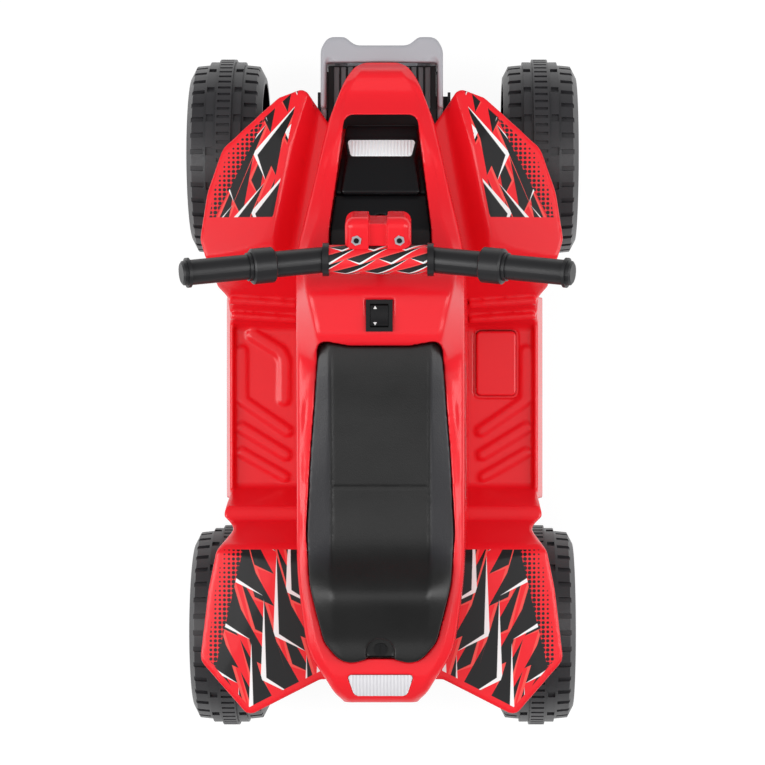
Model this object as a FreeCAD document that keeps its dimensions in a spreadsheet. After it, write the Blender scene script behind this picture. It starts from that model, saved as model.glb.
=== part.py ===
"""Kids electric quad bike: moulded body, seat, steering gear, geared rear wheel, pedal and rocker switch.

Millimetres. X is to the rider's right, Y is forward, Z is up; the tyres stand on Z = 0.
"""
import FreeCAD
import Part
import math
import os
import re
import types
import Sketcher
from FreeCAD import Placement, Rotation, Vector

# Driving dimensions: word alias and value.
SIZES = [
    ("wheel_radius", 105), ("wheel_width", 77), ("front_half_track", 163), ("rear_half_track", 160),
    ("front_axle_y", 241.5), ("wheelbase", 492), ("axle_radius", 5), ("running_gap", 0.05),
    ("tread_band", 16), ("tread_step", 36), ("tread_depth", 3), ("rib_count", 72), ("block_count", 36),
    ("spoke_count", 6), ("hub_radius", 17), ("hub_back", 34), ("hub_front", 24), ("bush_radius", 9),
    ("wall", 3), ("floor_height", 118), ("fender_height", 246), ("deck_height", 226),
    ("rear_fender_height", 244), ("arch_gap", 11), ("toe_height", 190), ("skirt_height", 85),
    ("foot_half_width", 161), ("rail_height", 9), ("rib_height", 2.5),
    ("seat_gap", 0.6), ("seat_wall", 3), ("tank_height", 340), ("rail_top", 290), ("cowl_half_width", 83),
    ("tray_bottom", 70), ("tray_half_width", 70), ("tray_wall", 3), ("fascia_height", 205),
    ("kingpin_x", 112), ("kingpin_radius", 5), ("lug_gap", 46), ("lug_thick", 6), ("sleeve_radius", 9),
    ("steer_arm", 40), ("link_pin_radius", 3), ("link_thick", 5), ("link_height", 92.5),
    ("rake", 18), ("bar_y", 123), ("bar_height", 385), ("column_foot", 110), ("column_radius", 6),
    ("bar_radius", 12.5), ("bar_bore", 9), ("bar_bend_x", 50), ("bar_half_length", 184), ("bar_rise", 20),
    ("collar_radius", 17), ("grip_radius", 12), ("flange_radius", 14.2), ("pod_half_width", 31.5),
    ("pod_depth", 42), ("pod_wall", 2.5),
    ("bumper_half_width", 62), ("bumper_front", 347), ("bumper_depth", 17), ("bumper_top", 232),
    ("bumper_bottom", 118), ("horn_reach", 8.5),
    ("flange_drop", 9), ("lens_front_y", 251), ("lens_rear_y", 231), ("lens_thick", 3),
    ("housing_rear_y", 192.5),
    ("switch_y", 70.5), ("switch_width", 26), ("switch_length", 31), ("switch_tilt", 9),
    ("pedal_x", 118), ("pedal_width", 42), ("pedal_length", 68), ("pedal_front_y", 59.5),
    ("pedal_gap", 1.5),
    ("pedal_lift", 6), ("pedal_thick", 4),
    ("battery_width", 70), ("battery_depth", 47), ("battery_tall", 101), ("battery_y", -45),
    ("gear_module", 1.25), ("wheel_teeth", 44), ("pinion_teeth", 14), ("gear_width", 9), ("backlash", 0.18),
    ("gear_x", 42), ("case_wall", 2.4), ("stage_one_angle", 20), ("stage_two_angle", 50),
    ("motor_radius", 14), ("motor_length", 38), ("shaft_radius", 3),
    ("screw_radius", 1.6), ("screw_head", 3.2), ("nut_across", 17),
]

doc = FreeCAD.newDocument("quad")
sheet = doc.addObject("Spreadsheet::Sheet", "sizes")
for row, (alias, value) in enumerate(SIZES, start=1):
    sheet.set(f"A{row}", alias)
    sheet.set(f"B{row}", str(value))
    sheet.setAlias(f"B{row}", alias)
doc.recompute()

d = types.SimpleNamespace(**{alias: float(sheet.get(alias)) for alias, value in SIZES})
ALIAS = re.compile(r"\b(" + "|".join(alias for alias, value in SIZES) + r")\b")
ORIGIN = Vector(0, 0, 0)
ALONG_X = Vector(1, 0, 0)
ALONG_Y = Vector(0, 1, 0)
UP = Vector(0, 0, 1)
SIDES = (("left", -1), ("right", 1))
REAR_AXLE = "(front_axle_y - wheelbase)"
front_y = d.front_axle_y
rear_y = d.front_axle_y - d.wheelbase
rake = math.radians(d.rake)
foot_y = d.bar_y + (d.bar_height - d.column_foot) * math.tan(rake)
axis = Vector(0, -math.sin(rake), math.cos(rake))
column_base = Vector(0, foot_y, d.column_foot)
column_length = (d.bar_height - d.column_foot) / math.cos(rake)
FOOT_Y = "(bar_y + (bar_height - column_foot) * tan(rake * 1 deg))"
COLUMN_LENGTH = "((bar_height - column_foot) / cos(rake * 1 deg))"
nodes = []


def bound(text):
    """Expression text with every dimension name pointing at its cell."""
    return ALIAS.sub(r"sizes.\1", str(text))


def bind(thing, **values):
    """Bind properties of a document object to expressions of the dimensions."""
    for name, text in values.items():
        thing.setExpression(name.replace("__", "."), bound(text))
    return thing


def place(thing, x=0, y=0, z=0, turn_axis=None, turn=0):
    """Bind the place of an object, and its turn about one axis."""
    if turn_axis is not None:
        thing.Placement = Placement(ORIGIN, Rotation(turn_axis, 1))
        bind(thing, Placement__Rotation__Angle=turn)
    return bind(thing, Placement__Base__x=x, Placement__Base__y=y, Placement__Base__z=z)


def block(x, y, z, length, width, height):
    """Box from its low corner."""
    thing = doc.addObject("Part::Box", "block")
    bind(thing, Length=length, Width=width, Height=height)
    return place(thing, x, y, z)


def rod(radius, height, x=0, y=0, z=0, along=None):
    """Cylinder from the centre of one end; upright, or along X or Y."""
    thing = doc.addObject("Part::Cylinder", "rod")
    bind(thing, Radius=radius, Height=height)
    if along == "X":
        return place(thing, x, y, z, ALONG_Y, "90")
    if along == "Y":
        return place(thing, x, y, z, ALONG_X, "-90")
    return place(thing, x, y, z)


def hexagon(across_corners, height, x, y, z, along=None):
    """Hexagonal bar from the centre of one end."""
    thing = doc.addObject("Part::Prism", "hexagon")
    thing.Polygon = 6
    bind(thing, Circumradius=across_corners, Height=height)
    if along == "X":
        return place(thing, x, y, z, ALONG_Y, "90")
    return place(thing, x, y, z)


def joined(*things):
    """One solid from several."""
    thing = doc.addObject("Part::MultiFuse", "joined")
    thing.Shapes = list(things)
    thing.Refine = True
    return thing


def without(base, *tools):
    """Base with the tools cut away."""
    for tool in tools:
        thing = doc.addObject("Part::Cut", "cut")
        thing.Base = base
        thing.Tool = tool
        thing.Refine = True
        base = thing
    return base


def group(*things):
    """Separate solids kept in one piece of the list, such as a set of screws."""
    thing = doc.addObject("Part::Compound", "group")
    thing.Links = list(things)
    return thing


def node(label, thing):
    """Name a finished piece and put it on the list to write."""
    thing.Label = label
    nodes.append(thing)
    return thing


def form(label, shape, spot=ORIGIN, turn=Rotation()):
    """Piece whose curved shape is made in code from the dimensions, then put in its place."""
    thing = doc.addObject("Part::Feature", label)
    thing.Shape = shape
    thing.Placement = Placement(spot, turn)
    return node(label, thing)


def origin_part(body, role):
    return next(part for part in body.Origin.OriginFeatures if part.Role == role)


def sketch(body, role, corners, offset=0):
    """Closed polygon on one origin plane, each corner tied to its dimensions."""
    drawing = body.newObject("Sketcher::SketchObject", "sketch")
    drawing.AttachmentSupport = [(origin_part(body, role), "")]
    drawing.MapMode = "FlatFace"
    bind(drawing, AttachmentOffset__Base__z=offset)
    points = []
    for corner in corners:
        values = [float(sheet.evalExpression(bound(text))) for text in corner]
        points.append(Vector(values[0], values[1], 0))
    count = len(points)
    for index in range(count):
        drawing.addGeometry(Part.LineSegment(points[index], points[(index + 1) % count]))
    for index in range(count):
        drawing.addConstraint(Sketcher.Constraint("Coincident", index, 2, (index + 1) % count, 1))
    for index, corner in enumerate(corners):
        for kind, text, value in zip(("DistanceX", "DistanceY"), corner, points[index]):
            number = drawing.addConstraint(Sketcher.Constraint(kind, -1, 1, index, 1, value))
            drawing.setExpression(f"Constraints[{number}]", bound(text))
    return drawing


def turned(corners):
    """Body turned about X from (along X, radius) corners."""
    body = doc.addObject("PartDesign::Body", "turned")
    drawing = sketch(body, "XZ_Plane", corners)
    feature = body.newObject("PartDesign::Revolution", "turn")
    feature.Profile = drawing
    feature.ReferenceAxis = (drawing, ["H_Axis"])
    feature.Angle = 360
    return body


def pocket(body, role, corners, depth, offset=0):
    """Cut a polygon through both sides of its plane by half the depth."""
    feature = body.newObject("PartDesign::Pocket", "pocket")
    feature.Profile = sketch(body, role, corners, offset)
    feature.Midplane = True
    return bind(feature, Length=depth)


def pad(body, role, corners, length, offset=0):
    """Raise a polygon to both sides of its plane by half the length."""
    feature = body.newObject("PartDesign::Pad", "pad")
    feature.Profile = sketch(body, role, corners, offset)
    feature.Midplane = True
    return bind(feature, Length=length)


def repeated(body, feature, count):
    """Repeat a feature round the X axis."""
    pattern = body.newObject("PartDesign::PolarPattern", "repeat")
    pattern.Originals = [feature]
    pattern.Axis = (origin_part(body, "X_Axis"), [""])
    pattern.Angle = 360
    bind(pattern, Occurrences=count)
    body.Tip = pattern
    return pattern


def rounded(corners, closed=True):
    """Wire through (corner, radius) pairs: straight runs joined by tangent arcs."""
    count = len(corners)
    stops = []
    for index, (corner, radius) in enumerate(corners):
        if radius == 0:
            stops.append((corner, None, corner))
            continue
        back = (corners[index - 1][0] - corner).normalize()
        ahead = (corners[(index + 1) % count][0] - corner).normalize()
        half = back.getAngle(ahead) / 2
        reach = radius / math.tan(half)
        middle = corner + (back + ahead).normalize() * (radius / math.sin(half) - radius)
        stops.append((corner + back * reach, middle, corner + ahead * reach))
    edges = []
    for index, (start, middle, end) in enumerate(stops):
        if middle is not None:
            edges.append(Part.Arc(start, middle, end).toShape())
        if closed or index < count - 1:
            edges.append(Part.makeLine(end, stops[(index + 1) % count][0]))
    return Part.Wire(edges)


def side_wire(corners):
    """Outline in the side view from (y, z, radius) corners."""
    return rounded([(Vector(0, y, z), radius) for y, z, radius in corners])


def front_wire(corners, y):
    """Outline in the front view from (x, z, radius) corners."""
    return rounded([(Vector(x, y, z), radius) for x, z, radius in corners])


def plan_wire(corners, z=0):
    """Outline in the top view from (x, y, radius) corners."""
    return rounded([(Vector(x, y, z), radius) for x, y, radius in corners])


def both_sides(right):
    """Closed outline of right-hand corners and their mirror images."""
    return right + [(-x, y, radius) for x, y, radius in reversed(right)]


def prism(wire, direction):
    return Part.Face(wire).extrude(direction)


def mirrored(shape):
    return shape.mirror(ORIGIN, ALONG_X)


# Lower body: fenders, toe boards, footwell floor and rear fenders in one skin.
SPAN = Vector(400, 0, 0)
TALL = Vector(0, 0, 500)
floor_front = d.pedal_front_y + 3.5
floor_rear = rear_y + 146.5
skin_corners = [
    (front_y + 75, 20, 0), (front_y + 75, d.fender_height - 9, 0), (front_y - 20, d.fender_height + 2, 150),
    (front_y - 108, d.fender_height - 2, 24), (front_y - 137, d.toe_height, 14),
    (floor_front, d.floor_height, 9), (floor_rear, d.floor_height, 7),
    (floor_rear - 19, d.floor_height + 47, 5), (floor_rear - 33, d.floor_height + 50, 5),
    (floor_rear - 59, d.rear_fender_height, 26), (rear_y - 90, d.rear_fender_height - 8, 0),
    (rear_y - 90, 20, 0),
]
outline_corners = both_sides([
    (50, front_y + 21.5, 6), (78, front_y + 61.5, 9), (104, front_y + 51.5, 18), (160.5, front_y, 22),
    (176, front_y - 43.5, 80), (183.5, front_y - 91.5, 16), (169.5, front_y - 137.5, 6),
    (d.foot_half_width, front_y - 147, 6), (d.foot_half_width, floor_rear - 8, 20),
    (165, floor_rear - 29, 4),
    (152, floor_rear - 41, 5), (167, rear_y + 86, 16), (175, rear_y + 47, 120), (183.5, rear_y - 24.5, 14),
    (134.5, rear_y - 81, 9), (62, rear_y - 44, 5),
])
arch = 2 * d.wheel_radius + d.arch_gap
below_corners = [
    (front_y + 90, 10, 0), (front_y + 90, arch, 0), (front_y - 112, arch, 20), (front_y - 144, 150, 20),
    (front_y - 147, d.floor_height - 6, 4), (floor_rear - 6, d.floor_height - 6, 10),
    (floor_rear - 20, d.floor_height + 28, 12), (floor_rear - 38, d.floor_height + 34, 8),
    (floor_rear - 60, arch - 10, 12), (floor_rear - 76, arch + 1, 10),
    (rear_y - 100, arch + 1, 0), (rear_y - 100, 10, 0),
]


def front_crown(drop):
    """Space above one front fender: hood valley, crest, and the fall to the outer edge."""
    corners = [
        (-60, d.deck_height - drop, 0), (72, d.deck_height - drop, 9), (92, d.fender_height - drop, 12),
        (260, d.fender_height - 20 - drop, 0), (260, 330, 0), (-60, 330, 0),
    ]
    shape = prism(front_wire(corners, front_y), Vector(-0.19 * 90, 90, 0))
    return shape.fuse(prism(front_wire(corners, front_y), Vector(0.19 * 125, -125, 0)))


def rear_crown(drop):
    """Space above one rear fender, falling to the outer edge."""
    corners = [(85, d.rear_fender_height + 1 - drop, 0), (260, d.rear_fender_height - 15 - drop, 0),
               (260, 330, 0), (85, 330, 0)]
    return prism(front_wire(corners, floor_rear - 30), Vector(0, -260, 0))


def skin_solid(inset):
    """Lower body as a filled form, drawn in by the inset on every side."""
    side = side_wire(skin_corners)
    plan = plan_wire(outline_corners)
    if inset:
        side = side.makeOffset2D(-inset)
        plan = plan.makeOffset2D(-inset)
    side.translate(Vector(-200, 0, 0))
    solid = prism(side, SPAN).common(prism(plan, TALL))
    crowns = [front_crown(inset), rear_crown(inset)]
    return solid.cut(crowns + [mirrored(crown) for crown in crowns])


def slot_bar(points, width, height, z):
    """Raised rib with round ends along a bent line."""
    corners = [Vector(x, y, z) for x, y in points]
    parts = [Part.makeCylinder(width / 2, height, corner, UP) for corner in corners]
    for start, end in zip(corners, corners[1:]):
        run = end - start
        edge = Vector(-run.y, run.x, 0).normalize() * (width / 2)
        strip = Part.makePolygon([start + edge, start - edge, end - edge, end + edge, start + edge])
        parts.append(prism(strip, Vector(0, 0, height)))
    return parts[0].fuse(parts[1:]).removeSplitter()


skin = skin_solid(0)
below = side_wire(below_corners)
below.translate(Vector(-200, 0, 0))
shell = skin.cut(skin_solid(d.wall)).cut(prism(below, SPAN))
rim = d.foot_half_width
skirt = prism(front_wire([
    (rim - 3.5, d.floor_height - d.wall, 0), (rim - 3.5, d.floor_height + d.rail_height, 1.4),
    (rim + 0.5, d.floor_height + d.rail_height, 1.4), (rim + 7.5, d.skirt_height, 0),
    (rim + 4.3, d.skirt_height, 0), (rim - 0.7, d.floor_height - d.wall, 0),
], front_y - 145), Vector(0, floor_rear - 13 - front_y + 145, 0))
additions = [skirt, mirrored(skirt)]
rib_lines = [
    ([(149.5, 39), (149.5, -13), (102, -45.5)], 9), ([(150, -42), (103.5, -70.5)], 9.5),
    ([(150, -68), (104.5, -94)], 8),
]
first_rib = [(-138, 56), (-109, 38), (-104.5, 29), (-105, -12)]
for points, width in rib_lines:
    rib = slot_bar(points, width, d.rib_height + 0.5, d.floor_height - 0.5)
    additions += [rib, mirrored(rib)]
additions.append(slot_bar(first_rib, 10.5, d.rib_height + 0.5, d.floor_height - 0.5))
# Two rounded treads lie across each toe board, their outer ends further forward.
for share in (0.3, 0.66):
    start = Vector(89, floor_front + (front_y - 137 - floor_front) * share - 4,
                   d.floor_height + (d.toe_height - d.floor_height) * share + 1)
    tread = Part.makeCylinder(5, 70, start, Vector(1, 0.06, 0.1))
    additions += [tread, mirrored(tread)]
shell = shell.fuse(additions)
pedal_hole = prism(plan_wire([
    (d.pedal_x + side * (d.pedal_width / 2 + d.pedal_gap), y, 5)
    for side, y in ((-1, d.pedal_front_y + d.pedal_gap), (1, d.pedal_front_y + d.pedal_gap),
                    (1, d.pedal_front_y - d.pedal_length - d.pedal_gap),
                    (-1, d.pedal_front_y - d.pedal_length - d.pedal_gap))
], d.floor_height - 20), Vector(0, 0, 40))
deck_y = d.bar_y + (d.bar_height - d.deck_height) * math.tan(rake)
column_hole = Part.makeCylinder(14, 60, Vector(0, deck_y, d.deck_height - 40), UP)
tray_holes = [Part.makeCylinder(d.screw_radius, 40, Vector(sign * 58, y, d.floor_height - 20), UP)
              for sign in (-1, 1) for y in (-30, -85)]
form("lower_body", shell.cut([pedal_hole, column_hole] + tray_holes).removeSplitter())

# Centre cowl: y, half width and height of the shoulder, half width and height of the top.
tank = d.tank_height
rail = d.rail_top
half = d.cowl_half_width
hood = d.deck_height
nose_y = front_y + 87
tail_y = rear_y - 63
STATIONS = [
    (nose_y, 24, hood + 13, 14, hood + 15), (nose_y - 6.5, 31, hood + 20, 20, hood + 24),
    (nose_y - 23.5, 39, hood + 28, 28, hood + 33), (front_y + 34.5, 50, hood + 36, 38, hood + 42),
    (front_y - 2.5, 59, hood + 44, 46, hood + 50), (front_y - 52.5, 70, hood + 55, 56, hood + 62),
    (front_y - 91.5, half - 4, hood + 64, 66, hood + 75), (front_y - 126, half, rail + 8, 75, tank - 18),
    (front_y - 150, half, rail + 10, 70, tank), (front_y - 183, half, rail + 8, 62, tank - 1),
    (front_y - 196, half, rail + 7, 60, tank - 5), (front_y - 212, half, rail + 5, 64, rail + 17),
    (front_y - 240, half, rail + 3, 70, rail + 7),
    (0.4 * front_y + 0.6 * rear_y, half, rail, 74, rail + 4), (rear_y + 140, half, rail - 2, 74.5, rail + 2),
    (rear_y + 85.5, half, rail - 3, 75, rail + 1),
    (rear_y + 35.5, half - 4, rail - 4, 71, rail), (rear_y + 0.5, half - 9, rail - 4, 64, rail + 1),
    (rear_y - 24.5, 64, rail - 4, 54, rail + 2), (rear_y - 44.5, 51, rail - 6, 43, rail - 1),
    (rear_y - 57, 42, rail - 13, 35, rail - 9), (tail_y, 37, rail - 20, 31, rail - 17),
]


def arched(y, half_low, low, half_side, side, half_top, top, first, second):
    """Arch-shaped section across the bike with two rounded shoulders a side."""
    right = [(half_low, low, 0), (half_side, side, first), (half_top, top, second)]
    return front_wire(both_sides(right), y)


def nose_corner(inset):
    """Space outside the round nose on the right, moved in by the inset."""
    corners = [
        (0, nose_y - inset, 0), (22 - 0.6 * inset, nose_y - inset, 20 - inset),
        (36 - inset, front_y + 70.5 - 0.5 * inset, 60), (53.5 - inset, front_y + 23.5, 0),
        (95, front_y + 23.5, 0), (95, nose_y + 20, 0), (0, nose_y + 20, 0),
    ]
    return prism(plan_wire(corners, d.deck_height), TALL)


def cowl_solid(inset):
    """Loft of the cowl with a round nose, drawn in by the inset."""
    sections = []
    for index, (y, half_side, side, half_top, top) in enumerate(STATIONS):
        end = {0: -inset, len(STATIONS) - 1: inset}.get(index, 0)
        sections.append(arched(y + end, half_side + 7 - inset, d.floor_height - 20, half_side - inset,
                               side - 0.4 * inset, half_top - 0.7 * inset, top - inset,
                               7 - 0.6 * inset, 8 - 0.6 * inset))
    corner = nose_corner(inset)
    return Part.makeLoft(sections, True, False, False, 3).cut([corner, mirrored(corner)])


seat_front = front_y - 196.5
seat_corners = both_sides([
    (30, seat_front - 3.5, 30), (60.5, seat_front + 2, 9), (69, front_y - 300, 150), (74, rear_y + 108, 90),
    (70, rear_y + 55, 90), (56, rear_y - 1, 30), (36, rear_y - 24, 22), (12, rear_y - 17.5, 14),
])
hood_corners = both_sides([(36, front_y + 31.5, 10), (50.5, front_y - 84, 60), (51, front_y - 122, 9)])
cowl_outer = cowl_solid(0)
cowl_inner = cowl_solid(d.wall)
cowl = cowl_outer.cut([
    skin,
    Part.makeBox(400, 200, d.deck_height, Vector(-200, front_y + 15, 0)),
    Part.makeBox(400, 200, d.rear_fender_height - 12, Vector(-200, rear_y - 200, 0)),
    prism(plan_wire(seat_corners, 250), TALL),
    prism(plan_wire(hood_corners, d.deck_height + 5), TALL),
    Part.makeBox(d.switch_width + 4, d.switch_length + 4, 40,
                 Vector(-d.switch_width / 2 - 2, d.switch_y - d.switch_length / 2 - 2, tank - 1)),
    Part.makeBox(d.switch_width - 4, d.switch_length - 4, 80,
                 Vector(-d.switch_width / 2 + 2, d.switch_y - d.switch_length / 2 + 2, tank - 40)),
])
tail_lens_corners = both_sides([(33, rear_y - 33.5, 3), (25.5, rear_y - 55.5, 6)])
tail_window = prism(plan_wire(tail_lens_corners, rail - 60), TALL)
form("centre_cowl", cowl.cut([cowl_inner, tail_window]))
tail_hole = plan_wire(tail_lens_corners, rail - 34).makeOffset2D(-0.15)
tail_block = cowl_outer.common(prism(tail_hole, TALL))
form("tail_light_lens", tail_block.cut(tail_block.translated(Vector(0, 0, -d.lens_thick))))

# Seat: y, half width and height of the rim, half width and height of the sitting surface.
SEAT_STATIONS = [
    (seat_front + 4, rail + 8, 50, rail + 20), (front_y - 232, rail + 6, 50, rail + 17),
    (front_y - 300, rail + 1, 52, rail + 6), (rear_y + 150, rail - 1, 54, rail + 1),
    (rear_y + 104, rail - 1, 55, rail), (rear_y + 88, rail, 54, rail + 4),
    (rear_y + 66, rail + 2, 50, rail + 19),
    (rear_y + 20, rail + 2, 46, rail + 20), (rear_y - 4, rail + 1, 42, rail + 12),
    (rear_y - 30, rail, 38, rail + 6),
]


seat_loft = Part.makeLoft([
    arched(y, 90, rail - 16, 84, side, half_top, top, 6, 10) for y, side, half_top, top in SEAT_STATIONS
], True, False, False, 3)


def seat_solid(inset):
    """Seat form within its plan outline, lowered and drawn in by the inset."""
    plan = plan_wire(seat_corners, rail - 60).makeOffset2D(-d.seat_gap - inset)
    return prism(plan, TALL).common(seat_loft.translated(Vector(0, 0, -inset)))


screw_y = rear_y - 9
recess = prism(plan_wire([(-14, screw_y - 22, 0), (14, screw_y - 22, 0), (14, screw_y + 12, 13.5),
                          (-14, screw_y + 12, 13.5)], rail - 4), TALL)
cup = prism(plan_wire([(-17, screw_y - 22, 0), (17, screw_y - 22, 0), (17, screw_y + 15, 16),
                       (-17, screw_y + 15, 16)], rail - 8), Vector(0, 0, 4))
seat_shape = seat_solid(0)
seat_shell = seat_shape.cut(seat_solid(d.seat_wall)).fuse(cup.common(seat_shape)).cut(recess)
screw_hole = Part.makeCylinder(d.screw_radius + 1.2, 40, Vector(0, screw_y, rail - 30), UP)
form("seat", seat_shell.cut(screw_hole).removeSplitter())
node("seat_screw", without(
    joined(rod("6.5", "2.5", 0, f"{REAR_AXLE} - 9", "rail_top - 4"),
           rod("screw_radius + 1", "47", 0, f"{REAR_AXLE} - 9", "rear_fender_height - 4")),
    block("-0.8", f"{REAR_AXLE} - 18", "rail_top - 2.7", "1.6", "18", "3")))

# Headlight: raised housing on the hood deck with a sloped fluted lens and its board.
lens_top = d.deck_height + 36
housing_side = [
    (front_y + 24, d.deck_height, 0), (front_y + 24, d.deck_height + 12, 3),
    (d.lens_front_y + 0.5, d.deck_height + 15, 2), (d.lens_rear_y - 0.5, lens_top, 2),
    (d.housing_rear_y, lens_top + 22, 3), (d.housing_rear_y, d.deck_height, 0),
]
housing_plan = both_sides([
    (35.5, front_y + 24, 4), (37.8, d.lens_front_y - 2, 10), (34.2, d.lens_rear_y - 2, 20),
    (39, d.housing_rear_y, 3),
])


def opening_prism(inset):
    """Plan of the hood opening, smaller by a gap and the inset."""
    return prism(plan_wire(hood_corners).makeOffset2D(-d.seat_gap - inset), TALL)


def housing_form(inset):
    """Raised housing on a lower flange that reaches the edges of the hood opening."""
    profile = side_wire(housing_side)
    plan = plan_wire(housing_plan)
    if inset:
        profile = profile.makeOffset2D(-inset)
        plan = plan.makeOffset2D(-inset)
        profile.translate(Vector(0, 0, -2 * inset))
    profile.translate(Vector(-200, 0, 0))
    flange = prism(profile.translated(Vector(0, 0, -d.flange_drop)), SPAN).common(opening_prism(inset))
    above = Part.makeBox(400, 400, 300, Vector(-200, 0, d.deck_height - 2 * inset))
    return prism(profile, SPAN).common(prism(plan, TALL)).fuse(flange.common(above))


housing = housing_form(0)
lens_corners = both_sides([(34.6, d.lens_front_y - 1, 3), (30.4, d.lens_rear_y + 1, 3)])
lens_window = prism(plan_wire(lens_corners), TALL)
form("headlight_housing", housing.cut([housing_form(2.5), lens_window]).removeSplitter())
lens_body = housing.common(prism(plan_wire(lens_corners).makeOffset2D(-0.15), TALL))
form("headlight_lens", lens_body.cut(lens_body.translated(Vector(0, 0, -d.lens_thick))))
node("headlight_board", joined(
    block("-24", "lens_rear_y + 4", "deck_height", "48", "10", "1.6"),
    *[rod("3", "5", x, "lens_rear_y + 9", "deck_height + 1") for x in ("-14", "14")]))
node("tail_light_board", joined(
    block("-22", f"{REAR_AXLE} - 43", "rear_fender_height - 5.5", "44", "8", "1.6"),
    *[rod("2.5", "5", x, f"{REAR_AXLE} - 39", "rear_fender_height - 5") for x in ("-10", "10")]))

# Black shroud that closes the hood opening round the column.
shroud_top = d.deck_height + 62
shroud_side = [(d.housing_rear_y, d.deck_height, 0), (d.housing_rear_y, shroud_top - 14, 5),
               (front_y - 84, shroud_top, 12), (front_y - 122, shroud_top, 0),
               (front_y - 122, d.deck_height, 0)]
shroud_wire = side_wire(shroud_side)
shroud_wire.translate(Vector(-200, 0, 0))
shroud = prism(shroud_wire, SPAN).common(opening_prism(0)).cut(skin)
shroud_room = prism(shroud_wire.translated(Vector(0, 0, -2.5)), SPAN)
shroud_room = shroud_room.common(opening_prism(2.5))
sweep_hole = Part.makeCylinder(15, 200, column_base + axis * 120, axis)
form("column_shroud", shroud.cut([shroud_room, sweep_hole]))

# Under-tray with kingpin lugs, column bridge and rear axle bosses.
RIGHT_WALL = "(tray_half_width - tray_wall)"
tray_front = "front_axle_y + 70"
BRACE_Y = ("-30", "-85")
tray = [
    block("-tray_half_width", f"{REAR_AXLE} - 50", "tray_bottom", "2 * tray_half_width", "wheelbase + 120",
          "tray_wall"),
    block("-50", tray_front + " - 3", "tray_bottom", "100", "3", "fascia_height - tray_bottom"),
    block("-55", tray_front + " - 56", "fascia_height - 3", "110", "bumper_front - front_axle_y - 32", "3"),
    block("-tray_half_width", f"{REAR_AXLE} - 50", "tray_bottom", "2 * tray_half_width", "3",
          "floor_height - wall - tray_bottom"),
    block("-46", f"{REAR_AXLE} - 50", "tray_bottom", "92", "3", "fascia_height - tray_bottom"),
    block("-tray_half_width", FOOT_Y + " - 16", "column_foot + 9", "2 * tray_half_width", "24", "8"),
]
tunnels = []
for side, sign in SIDES:
    wall_x = RIGHT_WALL if sign > 0 else "-tray_half_width"
    lug_x = RIGHT_WALL if sign > 0 else "-kingpin_x"
    tray += [
        block(wall_x, f"{REAR_AXLE} - 50", "tray_bottom", "tray_wall", "wheelbase + 120",
              "floor_height - wall - tray_bottom"),
        block(wall_x, FOOT_Y + " - 22", "tray_bottom", "tray_wall", "90",
              "wheel_radius + lug_gap / 2 + lug_thick - tray_bottom"),
        block(wall_x, f"{REAR_AXLE} - 18", "tray_bottom", "tray_wall", "36", "60"),
    ]
    rib_x = "tray_half_width" if sign > 0 else "-foot_half_width + 6"
    for y in BRACE_Y:
        tray.append(block(rib_x, y, "floor_height - wall - 22", "foot_half_width - 6 - tray_half_width",
                          "3", "22"))
        tray.append(rod("6", "floor_height - wall - tray_bottom", f"{sign} * 58", y, "tray_bottom"))
        tunnels.append(rod("screw_head + 0.3", "floor_height - wall - 8 - tray_bottom", f"{sign} * 58", y,
                           "tray_bottom"))
        tunnels.append(rod("screw_radius", "40", f"{sign} * 58", y, "floor_height - 30"))
    tunnels.append(rod("screw_radius", "20", f"{sign} * 40.5", tray_front + " - 10", "fascia_height - 13",
                       "Y"))
    for height in ("wheel_radius - lug_gap / 2 - lug_thick", "wheel_radius + lug_gap / 2"):
        tray.append(block(lug_x, "front_axle_y - 12", height, f"kingpin_x - {RIGHT_WALL}", "24",
                          "lug_thick"))
        tray.append(rod("12", "lug_thick", f"{sign} * kingpin_x", "front_axle_y", height))
    tunnels.append(rod("kingpin_radius", "120", f"{sign} * kingpin_x", "front_axle_y", "wheel_radius - 60"))
    tunnels.append(block(wall_x + " - 1", "front_axle_y - steer_arm - 14", "link_height - 12",
                         "tray_wall + 2", "27", "24"))
tray.append(rod("13", "8", "-tray_half_width - 8", REAR_AXLE, "wheel_radius", "X"))
column_bore = rod("column_radius + running_gap", "60", 0, FOOT_Y, "column_foot")
column_bore.Placement.Rotation = Rotation(ALONG_X, d.rake)
bind(column_bore, Placement__Rotation__Angle="rake")
tunnels += [
    rod("axle_radius", "4 * tray_half_width", "-2 * tray_half_width", REAR_AXLE, "wheel_radius", "X"),
    rod("14.5", "30", RIGHT_WALL + " - 10", REAR_AXLE, "wheel_radius", "X"),
    column_bore,
]
node("chassis_tray", without(joined(*tray), group(*tunnels)))

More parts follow.
